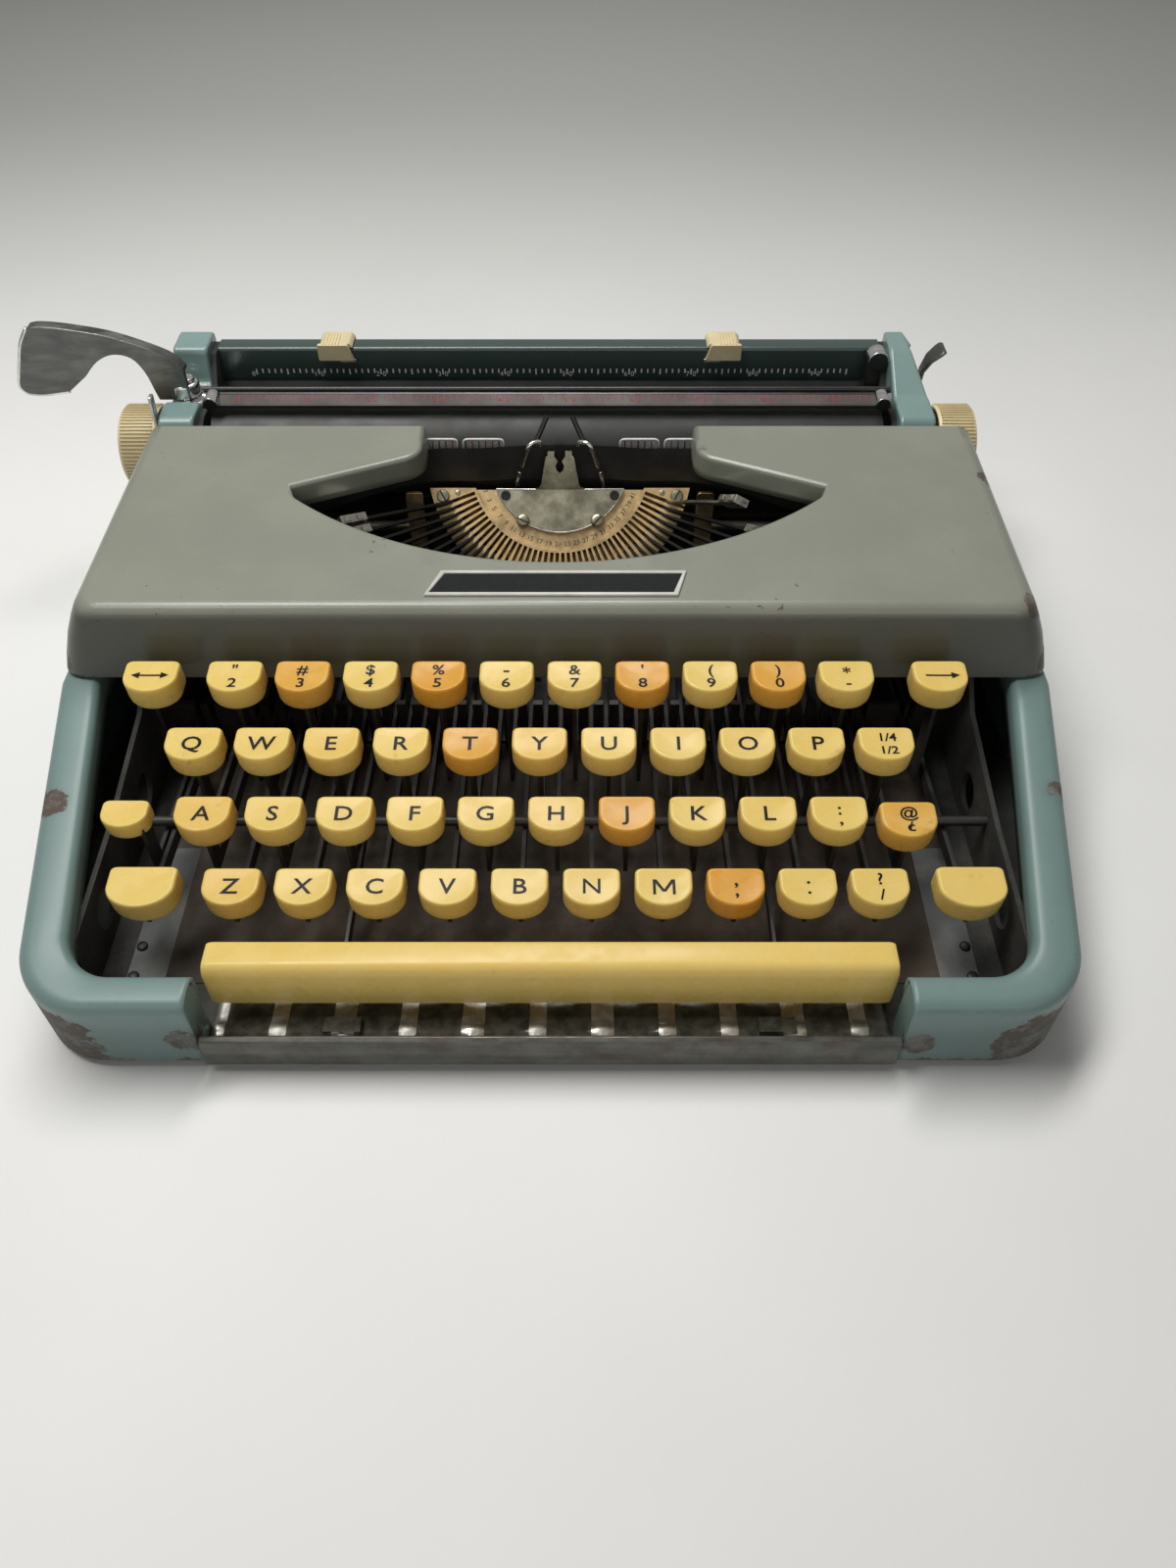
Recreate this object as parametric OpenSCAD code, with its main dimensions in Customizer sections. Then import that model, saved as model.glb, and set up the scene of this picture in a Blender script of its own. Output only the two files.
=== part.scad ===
// Portable typewriter: pressed housing, sheet key levers, type basket and sliding carriage.
// Millimetres, +Z up, +Y to the rear, origin on the table under the middle of the machine.

/* [Housing] */
// Width of the housing beside the type basket
body_w = 297; // [294:1:310]
// Width of the housing across its front corners
front_w = 276; // [272:1:290]
// Distance from the origin forward to the front face
front_y = 131; // [130:1:138]
// Distance from the origin back to the rear wall
rear_y = 135; // [134:1:145]
// Thickness of the housing sheet
sheet = 1.2; // [0.8:0.1:1.5]
// Height of the housing's lower edge above the table
edge_z = 2; // [1:0.5:3]
// Height of the rim at the front
rim_z = 29; // [27:0.5:30]
// Height of the rim under the ribbon cover
seat_z = 44; // [43:0.5:45]
// Height of the low deck behind the cover, over which the carriage runs
deck_z = 24; // [22:0.5:25]
// Width of the rim beside the keys
rim_w = 12; // [10:0.5:13]
// Radius of the front corners seen from above
corner_r = 20; // [14:1:26]
// Radius of a rubber foot
foot_r = 8; // [6:0.5:10]

/* [Ribbon cover] */
// Height of the cover from its lower edge to its top
cover_h = 22; // [21:0.5:24]
// Width across the top of the cover
cover_top_w = 279; // [274:1:284]
// Distance from the origin forward to the foot of the front apron
apron_y = 27; // [26.5:0.5:28]
// How far the apron leans back to the crease
apron_lean = 5.8; // [3:0.2:7]
// Distance from the origin back to the cover's rear edge
cover_rear = 75.4; // [74:0.2:75.6]
// Radius of the front edge of the type basket opening
opening_r = 124; // [118:1:130]
// Half the width between the two horns
horn_gap = 47.5; // [46:0.5:50]

/* [Keyboard] */
// Distance between neighbouring keys in a row
key_pitch = 19.5; // [19:0.1:20]
// Distance from one row of keys back to the next
row_depth = 18.8; // [18.4:0.1:19.2]
// Rise from one row of keys to the next
row_rise = 8.2; // [7.6:0.1:8.6]
// Distance from the origin forward to the middle of the front row
row_y = 94.6; // [93:0.2:96]
// Height of the middle of a front-row keytop
row_z = 31.1; // [30.6:0.1:32]
// Width of a typing keytop
key_w = 15.6; // [14.5:0.1:16]
// Depth of a typing keytop
key_d = 12.4; // [11.5:0.1:13]
// Height of a typing keytop
key_h = 8; // [7:0.2:8.4]
// Width of a shift keytop
shift_w = 18.6; // [17:0.2:19]
// Lean of a keytop towards the typist in degrees
key_lean = 5; // [0:1:8]
// Thickness of the sheet key levers
lever_t = 1.2; // [1:0.1:1.4]
// Height of a key lever's arm
lever_h = 4.5; // [4:0.1:5]
// Length of the space bar
space_w = 181; // [176:1:182]

/* [Type basket] */
// Number of typebars in the basket
bar_count = 42; // [30:1:44]
// Angle of the outermost typebar from the middle one
bar_fan = 70; // [66:1:72]
// Radius of the typebar pivots in the segment
bar_pivot_r = 40; // [39:0.5:41]
// Length of a typebar from its pivot to its type
bar_len = 47; // [44:0.5:48]
// Thickness of a typebar
bar_t = 0.9; // [0.7:0.1:1]
// Lean of the segment's face back from upright in degrees
segment_lean = 45; // [44:1:46]
// How far the half-raised typebar stands up from its rest in degrees
stuck_lift = 22; // [10:1:30]
// Width of the ribbon
ribbon_w = 13; // [12.5:0.1:13]
// Radius of a ribbon spool
spool_r = 20; // [17:0.5:21]

/* [Carriage] */
// Width of one letter space
column = 2.309; // [2.2:0.01:2.54]
// Letter spaces that the carriage stands left of its middle
rest_columns = 2; // [0:1:4]
// Radius of the platen
platen_r = 16.5; // [15.5:0.1:16.6]
// Length of the platen
platen_w = 236; // [230:1:238]
// Height of the platen's axis
platen_z = 48; // [47.5:0.1:49]
// Radius of a platen knob
knob_r = 15; // [12:0.5:15.5]
// Length of a platen knob
knob_w = 13.6; // [10:0.2:16]
// Radius of the platen shaft
shaft_r = 3.5; // [3:0.1:4]
// Distance from the origin back to the face of the margin rail
rail_y = 121.6; // [121:0.2:124]
// Height of the top of the margin rail
rail_z = 71; // [69:0.5:73]
// Place of the left margin stop along the rail, from the carriage's middle
stop_left = -78; // [-90:1:-60]
// Place of the right margin stop along the rail, from the carriage's middle
stop_right = 64; // [60:1:90]
// Thickness of the carriage end covers
end_w = 12.5; // [10:0.5:13]

/* [Fits] */
// Running clearance round shafts and pins
run_gap = 0.05; // [0.03:0.01:0.09]
// Clearance between parts that pass each other
pass_gap = 0.8; // [0.6:0.1:1]
// Clearance in a keytop round its lever
socket_gap = 0.04; // [0.03:0.01:0.08]

/* [Hidden] */
$fn = 40;
cream = [0.90, 0.78, 0.47];
steel = [0.62, 0.62, 0.60];
dark = [0.16, 0.15, 0.15];
black = [0.05, 0.05, 0.055];
teal = [0.30, 0.42, 0.44];
grey_green = [0.40, 0.43, 0.40];
brass = [0.66, 0.53, 0.32];
pale = [0.80, 0.80, 0.78];

half_rear = body_w / 2;
half_front = front_w / 2;
flare = atan((half_rear - half_front) / (front_y - apron_y - corner_r));
plate_y = -apron_y + apron_lean + 4.7;
plate_d = 11.5;
plate_z = 3.4;
plate_t = 1;
floor_z = plate_z + plate_t;
notch_half = space_w / 2 + 1.2;
cover_z = seat_z + 1;
top_z = cover_z + cover_h;
half_cover = body_w / 2 - 1;
half_top = cover_top_w / 2;
hinge_y = cover_rear - 3;
hinge_z = top_z - 4.5;
hinge_r = 1.6;
ear_r = 2.9;
// Corner radius of the opening round the keys
well_r = 13;
lug_room = 8;
frame_x = min(half_front - rim_w, half_top - lug_room);
frame_t = 1.5;
pivot_y = 50;
pivot_z = 9;
pivot_r = 2.5;
lever_slope = 0.0793;
hub_r = pivot_r + 1.5;
lane = 1;
comb_y = -15;
comb_t = 2;
comb_top = 22;
number_x = [for (i = [0:9]) lane + key_pitch * (i - 4.75)];
upper_x = [for (i = [0:10]) lane + key_pitch * (i - 5.25)];
home_x = [for (i = [0:10]) lane + key_pitch * (i - 5)];
lower_x = [for (i = [0:9]) lane + key_pitch * (i - 4.5)];
number_left = number_x[0] - key_w / 2;
number_right = number_x[9] + key_w / 2;
lower_left = lower_x[0] - key_w / 2;
lower_right = lower_x[9] + key_w / 2;
release_x = number_left - 0.605 * (frame_x + number_left);
back_x = number_right + 0.554 * (frame_x - number_right);
shift_left_x = lower_left - 0.523 * (frame_x + lower_left);
shift_right_x = lower_right + 0.579 * (frame_x - lower_right);
end_key_w = min(key_w, frame_x + number_left - 2 * pass_gap);
shift_key_w = min(shift_w, frame_x - lower_right - 2 * pass_gap);
lock_x = shift_left_x - 2.4;
lock_pivot_y = -37;
lock_pin = 0.8;
space_arms = [lane - 3 * key_pitch + 1.2, lane + 3 * key_pitch + 1.2];
space_arm_t = 0.9;
rod_r = 1.5;
space_rod_y = key_y(1) + 12;
space_rod_z = lever_z(key_y(1) + 12) + lever_h / 2 + rod_r + 0.3;
space_y = -(front_y - 16.5);
space_top = row_z - 3;
space_h = 16.5;
space_d = 9.4;
rod_y = pivot_y + 8;
segment_y = 71;
segment_z = 55.8;
segment_in = 25.6;
segment_out = 46;
segment_t = 6;
slot_in = 31.4;
recess = 3.4;
guide_t = 1.4;
bar_sink = 1.2;
bar_rise = 38.7;
stuck_bar = bar_count - 1;
bar_ratio = 25.2;
carrier_x = 43;
platen_y = cover_rear + 1.1 + platen_r;
rest_x = -rest_columns * column;
side_x = platen_w / 2 + 3.5;
side_t = 2;
end_x = side_x + side_t;
knob_x = end_x + end_w + 2.5;
run_z = 18;
run_r = 3;
run_front = platen_y - 5;
run_rear = rail_y - 6;
frame_top = deck_z - sheet - pass_gap;
beam_z = deck_z + 2.5;
beam_t = 2;
bail_y = platen_y - 2;
bail_z = platen_z + platen_r + 3.8;
bail_pivot_y = platen_y + 15;
bail_pivot_z = platen_z + 9;
roller_r = 5;
roller_turn = 66;
roller_z = platen_z - (platen_r + roller_r + 0.3) * cos(roller_turn);
roller_y = platen_y + (platen_r + roller_r + 0.3) * sin(roller_turn);
pan_r = platen_r + 1.6;
spool_x = frame_x - spool_r - 2;
spool_y = 20;
spool_z = cover_z + 1.4;
ribbon_z = spool_z + 1.6;
lip_h = 8;
opening_half = 89;
opening_y = opening_r - 0.7;
opening_tip = opening_y - sqrt(opening_r * opening_r - opening_half * opening_half);
horn_x = horn_gap + 2.5;
horn_y = 61;
horn_face_y = horn_y - 3.5;
card_x = 29;
card_w = 30;
card_h = 14;
card_drop = 9;
rail_h = 15;
lever_lift = 14;
lever_x = -(end_x + 8);
lever_y = platen_y + 13;
drum_r = 18;
drum_x = frame_x - 34;
drum_y = platen_y + 10;
drum_pin = 3;
bell_r = 9.5;
wheel_r = 11;
wheel_x = 30;
wheel_pin = 1.5;
pinion_r = 6;
pin_r = 1;
release_y = rail_y - 3;
release_z = platen_z + 9;
space_set_y = platen_y - 8;
space_set_z = platen_z + 10;
home_names = [
  "key_a", "key_s", "key_d", "key_f", "key_g", "key_h", "key_j", "key_k", "key_l", "key_semicolon"
];

// Points of an arc from angle a to angle b
function arc(x, y, r, a, b, n) = [
  for (i = [0:n])
    let (t = a + (b - a) * i / n)
      [x + r * cos(t), y + r * sin(t)]
];

// The same outline mirrored to the left and run backwards
function mirrored(points) = [for (i = [len(points) - 1:-1:0]) [-points[i][0], points[i][1]]];

// Right half of the housing's outline seen from above, moved inwards by an inset
function right_half(inset) = concat(
  arc(half_front - corner_r, -front_y + corner_r, max(corner_r - inset, 1), -90, -flare, 10),
  [[half_rear - inset, -apron_y]],
  arc(half_rear - 12, rear_y - 12, max(12 - inset, 0.5), 0, 90, 6));

// Turns an outline in depth and height into a bar across the machine
module across(from, to) {
  translate([from, 0, 0])
    rotate([90, 0, 90])
      linear_extrude(to - from)
        children();
}

// Housing block below its top profile, moved inwards by an inset
module housing_block(inset) {
  intersection() {
    linear_extrude(200)
      polygon(concat(right_half(inset), mirrored(right_half(inset))));
    across(-body_w, body_w)
      polygon([
        [-front_y - 5, edge_z - 5 * min(inset, 1)],
        [-front_y - 5, rim_z - inset - 5 * (seat_z - rim_z) / (front_y - apron_y)],
        [-apron_y, seat_z - inset],
        [cover_rear + 0.6 - inset, seat_z - inset],
        [cover_rear + 0.6 - inset, deck_z - inset],
        [rear_y + 5, deck_z - inset],
        [rear_y + 5, edge_z - 5 * min(inset, 1)]
      ]);
  }
}

module lower_shell() {
  color(teal)
    difference() {
      housing_block(0);
      housing_block(sheet);
      translate([0, 0, edge_z + 4])
        linear_extrude(200)
          polygon(concat(well_half(), mirrored(well_half())));
      translate([-notch_half, -front_y - 1, -1])
        cube([2 * notch_half, rim_w + 2, 100]);
    }
}

// Right half of the opening round the keys and the mechanism
function well_half() = concat(
  arc(half_front - rim_w - well_r, -front_y + rim_w - 1.5 + well_r, well_r, -90, -flare, 8),
  [[half_rear - rim_w, -apron_y], [half_rear - rim_w, rear_y - rim_w]]);

module bottom_plate() {
  color(dark) {
    difference() {
      translate([0, 0, plate_z])
        linear_extrude(plate_t)
          polygon(concat(right_half(sheet + 0.4), mirrored(right_half(sheet + 0.4))));
      translate([-notch_half, -front_y - 1, 0])
        cube([2 * notch_half, 6, 20]);
    }
    translate([-notch_half + 0.4, -front_y - 1.5, plate_z])
      cube([2 * notch_half - 0.8, 8, plate_t]);
    translate([-notch_half + 0.4, -front_y - 1.5, plate_z])
      cube([2 * notch_half - 0.8, sheet, 13.5]);
    translate([drum_x, drum_y, plate_z])
      cylinder(r = drum_pin, h = 11);
    translate([wheel_x, drum_y, plate_z])
      cylinder(r = wheel_pin, h = 10);
  }
}

module rubber_feet() {
  corners = [for (x = [-1, 1], y = [31 - front_y, rear_y - 30]) [x * (half_front - 23), y]];
  color(black)
    for (place = concat([[0, 0]], corners))
      translate([place[0], place[1], 0])
        cylinder(r1 = foot_r - 1, r2 = foot_r, h = plate_z);
}

// Side plate of the chassis, seen from the side
module frame_side() {
  difference() {
    polygon([
      [-front_y + 20, floor_z], [-front_y + 20, rim_z - 4], [-70, rim_z - 2], [-30, rim_z + 4],
      [-12, cover_z + 1.2], [spool_y + 26, cover_z + 1.2], [hinge_y - ear_r, hinge_z - 6],
      [hinge_y - ear_r, hinge_z], [hinge_y, hinge_z + ear_r], [hinge_y + ear_r, hinge_z],
      [hinge_y + ear_r, frame_top], [rear_y - 6, frame_top], [rear_y - 6, floor_z]
    ]);
    translate([hinge_y, hinge_z])
      circle(r = hinge_r);
    translate([pivot_y, pivot_z])
      circle(r = pivot_r);
    for (y = [run_front, run_rear])
      translate([y, run_z])
        circle(r = run_r);
    translate([space_rod_y, space_rod_z])
      circle(r = rod_r + run_gap);
    for (y = [-90, -46])
      translate([y, 15])
        circle(r = 6);
  }
}

module chassis() {
  color(dark) {
    for (side = [-1, 1]) {
      across(side * frame_x + min(side, 0) * frame_t, side * frame_x + max(side, 0) * frame_t)
        frame_side();
      difference() {
        translate([side * spool_x - (spool_r + 3), spool_y - spool_r, cover_z])
          cube([2 * spool_r + 6 - (side < 0 ? 0 : 1), 2 * spool_r, 1.2]);
        translate([side > 0 ? frame_x : -frame_x - 9, spool_y - 30, cover_z - 1])
          cube([9, 60, 4]);
      }
      translate([side * spool_x, spool_y, cover_z])
        cylinder(r = 3, h = 16);
    }
    translate([-frame_x, rod_y + 4, floor_z])
      cube([2 * frame_x, 2, 10]);
    for (side = [-1, 1])
      translate([side * carrier_x - 3, rod_y + 4, floor_z])
        cube([6, 2, under_z(rod_y + 4) - floor_z]);
  }
}

module lever_comb() {
  lanes = concat(number_x, upper_x, home_x, lower_x, [release_x, back_x, shift_left_x, shift_right_x]);
  color(steel)
    difference() {
      translate([-frame_x + 0.1, comb_y, floor_z])
        cube([2 * frame_x - 0.2, comb_t, comb_top - floor_z]);
      for (x = lanes)
        translate([x - lever_t / 2 - 0.4, comb_y - 1, floor_z + 1])
          cube([lever_t + 0.8, comb_t + 2, comb_top]);
    }
}

module key_pivot_shaft() {
  color(steel)
    across(-frame_x - frame_t, frame_x + frame_t)
      translate([pivot_y, pivot_z])
        circle(r = pivot_r);
}

module cover_pins() {
  color(steel)
    for (side = [-1, 1])
      across(side * (frame_x + 2) - 3, side * (frame_x + 2) + 3)
        translate([hinge_y, hinge_z])
          circle(r = hinge_r);
}

// Puts parts that are drawn flat into the leaning plane of the segment
module in_segment() {
  translate([0, segment_y, segment_z])
    rotate([90 - segment_lean, 0, 0])
      children();
}

// Part of a disc below the segment's upper edge
module half_disc(r, h, upper) {
  intersection() {
    cylinder(r = r, h = h, $fn = 80);
    translate([-r, -r - 1, -1])
      cube([2 * r, r + 1 - upper, h + 2]);
  }
}

module type_segment() {
  color(brass)
    in_segment()
      difference() {
        translate([0, 0, -segment_t])
          half_disc(segment_out, segment_t, 9);
        translate([0, 0, -segment_t - 1])
          cylinder(r = segment_in - 6, h = segment_t + 2, $fn = 80);
        for (i = [0:bar_count - 1])
          rotate([0, 0, -90 + bar_angle(i)])
            translate([slot_in, -bar_t / 2 - 0.15, -segment_t + 0.4])
              cube([segment_out, bar_t + 0.3, segment_t]);
        translate([0, 0, -recess])
          cylinder(r = slot_in - 0.8, h = segment_t, $fn = 80);
        for (side = [-1, 1])
          translate([side * 13, -20, -segment_t - 1])
            cylinder(r = 1.2, h = segment_t + 2);
      }
}

// Height of the segment's underside at a given depth
function under_z(y) = segment_z + (y - segment_y) / tan(segment_lean) - segment_t / sin(segment_lean);

// Angle of a typebar from the middle of the basket
function bar_angle(i) = bar_fan * (2 * i / (bar_count - 1) - 1);

module type_guide() {
  color(pale)
    in_segment()
      difference() {
        union() {
          translate([0, 0, -recess])
            half_disc(segment_in - 1.6, guide_t, 9);
          translate([-6, -11, -recess])
            cube([12, 8, guide_t]);
        }
        for (side = [-1, 1])
          translate([side * 13, -20, -segment_t])
            cylinder(r = 1.2, h = 2 * segment_t);
      }
  color(pale)
    difference() {
      translate([-6, segment_y - 2.2, segment_z - 6.3])
        cube([12, 1.2, 9.3]);
      translate([0, segment_y, segment_z + 0.5])
        rotate([90, 0, 0])
          cylinder(r = 1.4, h = 5);
    }
}

module segment_screws() {
  color(steel)
    in_segment()
      for (side = [-1, 1])
        translate([side * 13, -20, 0]) {
          translate([0, 0, -segment_t])
            cylinder(r = 1.2, h = segment_t - recess + guide_t);
          translate([0, 0, -recess + guide_t])
            cylinder(r = 2.4, h = 1.2);
        }
}

// One typebar in its own plane, lying back from its pivot by an angle
module typebar(rise) {
  translate([bar_pivot_r, 0, -bar_sink])
    rotate([0, -rise, 0]) {
      rotate([90, 0, 0])
        cylinder(r = 1.5, h = bar_t, center = true);
      translate([-0.5, -bar_t / 2, -1.2])
        cube([bar_len + 0.5, bar_t, 2.4]);
      translate([bar_len - 5, -1.3, -1])
        cube([5, 2.6, 4.5]);
    }
}

module typebars() {
  color(steel)
    in_segment()
      for (i = [0:bar_count - 2])
        rotate([0, 0, -90 + bar_angle(i)])
          typebar(bar_rise);
}

module stuck_typebar() {
  color(steel)
    in_segment()
      rotate([0, 0, -90 + bar_angle(stuck_bar)])
        typebar(bar_rise + stuck_lift);
}

module line_scales() {
  color([0.85, 0.85, 0.85])
    for (side = [-1, 1])
      translate([side * card_x - card_w / 2, platen_y - platen_r - 1.4, segment_z - card_drop])
        cube([card_w, 0.8, card_h]);
}

// Path of the ribbon from the left spool to the right one, seen from above
function ribbon_path() = [
  [-spool_x + 2, spool_y + spool_r - 2], [-56, platen_y - platen_r - 9], [-8, platen_y - platen_r - 3.4],
  [8, platen_y - platen_r - 3.4], [56, platen_y - platen_r - 9], [spool_x - 2, spool_y + spool_r - 2]
];

module ribbon() {
  path = ribbon_path();
  back = [for (i = [len(path) - 1:-1:0]) [path[i][0], path[i][1] + 0.5]];
  color(black)
    translate([0, 0, ribbon_z])
      linear_extrude(ribbon_w)
        polygon(concat(path, back));
}

module ribbon_vibrator() {
  y = platen_y - platen_r - 4.9;
  color(pale) {
    for (side = [-1, 1])
      translate([side * 9.5 - 1, y, segment_z - 13])
        cube([2, 1, 20]);
    translate([-10.5, y - 1, segment_z - 14.6])
      cube([21, 2, 1.6]);
  }
}

module carriage_rails() {
  color(steel)
    for (y = [run_front, run_rear])
      across(-frame_x - frame_t, frame_x + frame_t)
        translate([y, run_z])
          circle(r = run_r);
}

module bell() {
  color(pale)
    translate([-84, (run_front + run_rear) / 2, floor_z]) {
      cylinder(r = 2, h = 14);
      translate([0, 0, 8])
        difference() {
          intersection() {
            sphere(r = bell_r);
            translate([-15, -15, 0])
              cube([30, 30, 7]);
          }
          intersection() {
            sphere(r = bell_r - sheet);
            translate([-15, -15, -1])
              cube([30, 30, 6.5]);
          }
        }
    }
}

// Outline of the cover seen from the front and from the side, moved inwards by an inset
module cover_block(inset) {
  lean = (half_cover - half_top) / cover_h;
  intersection() {
    rotate([90, 0, 0])
      translate([0, 0, -200])
        linear_extrude(400)
          polygon([
            [-half_cover + inset - lean * min(inset, 0.01), cover_z - inset],
            [half_cover - inset, cover_z - inset],
            [half_top - inset, top_z - inset],
            [-half_top + inset, top_z - inset]
          ]);
    across(-body_w, body_w)
      polygon([
        [-apron_y + inset, cover_z - 1],
        [-apron_y + apron_lean + inset, top_z - inset],
        [cover_rear + inset, top_z - inset],
        [cover_rear + inset, cover_z - 1]
      ]);
  }
}

// Opening over the type basket, seen from above
module basket_opening() {
  sweep = asin(opening_half / opening_r);
  past_rear = cover_rear + 15;
  polygon(concat(
    arc(0, opening_y, opening_r, -90 - sweep, -90 + sweep, 24),
    [[opening_half - 1, opening_tip + 4], [horn_x, horn_face_y], [horn_gap, horn_y], [horn_gap, past_rear]],
    [[-horn_gap, past_rear], [-horn_gap, horn_y], [-horn_x, horn_face_y]],
    [[-opening_half + 1, opening_tip + 4]]));
}

module ribbon_cover() {
  color(grey_green) {
    difference() {
      cover_block(0);
      cover_block(sheet);
      translate([0, 0, cover_z])
        linear_extrude(2 * cover_h)
          basket_opening();
    }
    for (side = [-1, 1]) {
      horn_lip(side);
      difference() {
        across(side > 0 ? frame_x + 2.2 : -frame_x - 3.7, side > 0 ? frame_x + 3.7 : -frame_x - 2.2)
          polygon([
            [hinge_y - 12, top_z - sheet], [hinge_y - 4, hinge_z - 4], [hinge_y + 3, hinge_z - 4],
            [cover_rear, top_z - sheet]
          ]);
        across(-body_w, body_w)
          translate([hinge_y, hinge_z])
            circle(r = hinge_r + run_gap);
      }
    }
  }
}

// Folded lips under the front edge and the inner end of one horn
module horn_lip(side) {
  translate([0, 0, top_z - lip_h])
    linear_extrude(lip_h - sheet / 2)
      polygon([
        [side * (opening_half - 2), opening_tip + 4.4], [side * horn_x, horn_face_y],
        [side * horn_gap, horn_y], [side * (horn_gap + sheet), horn_y + 0.5],
        [side * (horn_x + 0.6), horn_face_y + 1.2],
        [side * (opening_half - 2), opening_tip + 5.8]
      ]);
  translate([side > 0 ? horn_gap : -horn_gap - sheet, horn_y, ribbon_z + ribbon_w + pass_gap])
    cube([sheet, cover_rear - horn_y, top_z - sheet / 2 - ribbon_z - ribbon_w - pass_gap]);
}

module name_plate() {
  color(black)
    translate([0, 0, top_z + 0.05])
      linear_extrude(0.8)
        polygon([
          [-38, plate_y], [36, plate_y], [39, plate_y + plate_d], [-34, plate_y + plate_d]
        ]);
}

// Moves a part with the carriage's rest place
module on_carriage() {
  translate([rest_x, 0, 0])
    children();
}

module carriage_frame() {
  color(dark)
    on_carriage() {
      for (side = [-1, 1])
        across(side > 0 ? side_x : -side_x - side_t, side > 0 ? side_x + side_t : -side_x)
          difference() {
            polygon([
              [cover_rear + 4.5, beam_z], [cover_rear + 4.5, platen_z + 11], [platen_y - 3, platen_z + 14],
              [rail_y - 10, platen_z + 14], [rail_y - 3, rail_z - 0.5], [rail_y + 6, rail_z - 0.5],
              [rail_y + 6, beam_z]
            ]);
            translate([platen_y, platen_z])
              circle(r = shaft_r + run_gap);
            translate([bail_pivot_y, bail_pivot_z])
              circle(r = 2);
            translate([roller_y, roller_z])
              circle(r = 2 + run_gap);
          }
      translate([-side_x - 0.1, cover_rear + 4.5, beam_z])
        cube([2 * side_x + 0.2, rail_y + 6 - cover_rear - 4.5, beam_t]);
      for (side = [-1, 1])
        across(side > 0 ? side_x - 2.8 : -side_x - side_t, side > 0 ? side_x + side_t : -side_x + 2.8)
          translate([bail_pivot_y, bail_pivot_z])
            circle(r = 2);
      translate([lever_x, lever_y, platen_z + 13.5])
        cylinder(r = 2.5, h = 6);
    }
}

module carriage_truck() {
  color(steel)
    on_carriage()
      difference() {
        translate([-13, run_front - 5, run_z - 1])
          cube([26, run_rear - run_front + 10, beam_z - run_z + 0.95]);
        for (y = [run_front, run_rear])
          across(-20, 20)
            translate([y, run_z])
              circle(r = run_r + run_gap);
        translate([-14, run_front + 5, run_z - 2])
          cube([28, run_rear - run_front - 10, beam_z - run_z - 1]);
      }
}

module margin_rail() {
  color(teal)
    on_carriage() {
      translate([-side_x + 0.05, rail_y, rail_z - rail_h])
        cube([2 * side_x - 0.1, sheet, rail_h]);
      translate([-side_x + 0.05, rail_y, rail_z - sheet])
        cube([2 * side_x - 0.1, 7, sheet]);
    }
}

module paper_table() {
  color(black)
    on_carriage()
      difference() {
        across(-side_x + 0.4, side_x - 0.4)
          difference() {
            union() {
              intersection() {
                translate([platen_y, platen_z])
                  circle(r = pan_r + 1, $fn = 80);
                translate([platen_y - 8, platen_z - 30])
                  square([50, 32]);
              }
              polygon([
                [platen_y + pan_r, platen_z], [platen_y + pan_r + 1, platen_z], [rail_y - 1, rail_z - 12],
                [rail_y - 2, rail_z - 12]
              ]);
            }
            translate([platen_y, platen_z])
              circle(r = pan_r, $fn = 80);
          }
        for (x = [-70, 0, 70])
          translate([x - 13, roller_y - 7, roller_z - 7])
            cube([26, 14, 14]);
        across(-body_w, body_w)
          translate([roller_y, roller_z])
            circle(r = 2.6);
      }
}

module feed_roller() {
  color(black)
    on_carriage() {
      across(-side_x - side_t, side_x + side_t)
        translate([roller_y, roller_z])
          circle(r = 2);
      for (x = [-70, 0, 70])
        across(x - 11, x + 11)
          translate([roller_y, roller_z])
            circle(r = roller_r);
    }
}

// Outline of a carriage end cover seen from the side
module end_outline() {
  difference() {
    polygon([
      [cover_rear + 4.6, beam_z + 6], [cover_rear + 4.6, platen_z + 12], [cover_rear + 8, platen_z + 17],
      [platen_y + 2, platen_z + 17], [platen_y + 6, platen_z + 13.5], [rail_y - 8, platen_z + 13.5],
      [rail_y - 6, rail_z + 3], [rail_y + 8, rail_z + 3], [rail_y + 9, beam_z + 6]
    ]);
    translate([platen_y, platen_z])
      circle(r = shaft_r + 0.6);
    translate([roller_y, roller_z])
      circle(r = 3);
  }
}

module end_covers() {
  color(teal)
    on_carriage()
      for (side = [-1, 1])
        difference() {
          union() {
            across(side > 0 ? end_x : -end_x - end_w, side > 0 ? end_x + end_w : -end_x)
              end_outline();
            across(side > 0 ? end_x + end_w - 2 : -end_x - end_w - 2.2,
              side > 0 ? end_x + end_w + 2.2 : -end_x - end_w + 2)
              translate([side > 0 ? release_y : space_set_y, side > 0 ? release_z : space_set_z])
                circle(r = pin_r);
          }
          translate([lever_x, lever_y, platen_z])
            cylinder(r = 2.6, h = 30);
        }
}

module platen() {
  color(black)
    on_carriage()
      across(-platen_w / 2, platen_w / 2)
        difference() {
          translate([platen_y, platen_z])
            circle(r = platen_r, $fn = 80);
          translate([platen_y, platen_z])
            circle(r = shaft_r);
        }
}

module platen_shaft() {
  color(steel)
    on_carriage()
      across(-knob_x - knob_w + 1, knob_x + knob_w - 1)
        translate([platen_y, platen_z])
          circle(r = shaft_r);
}

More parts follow.
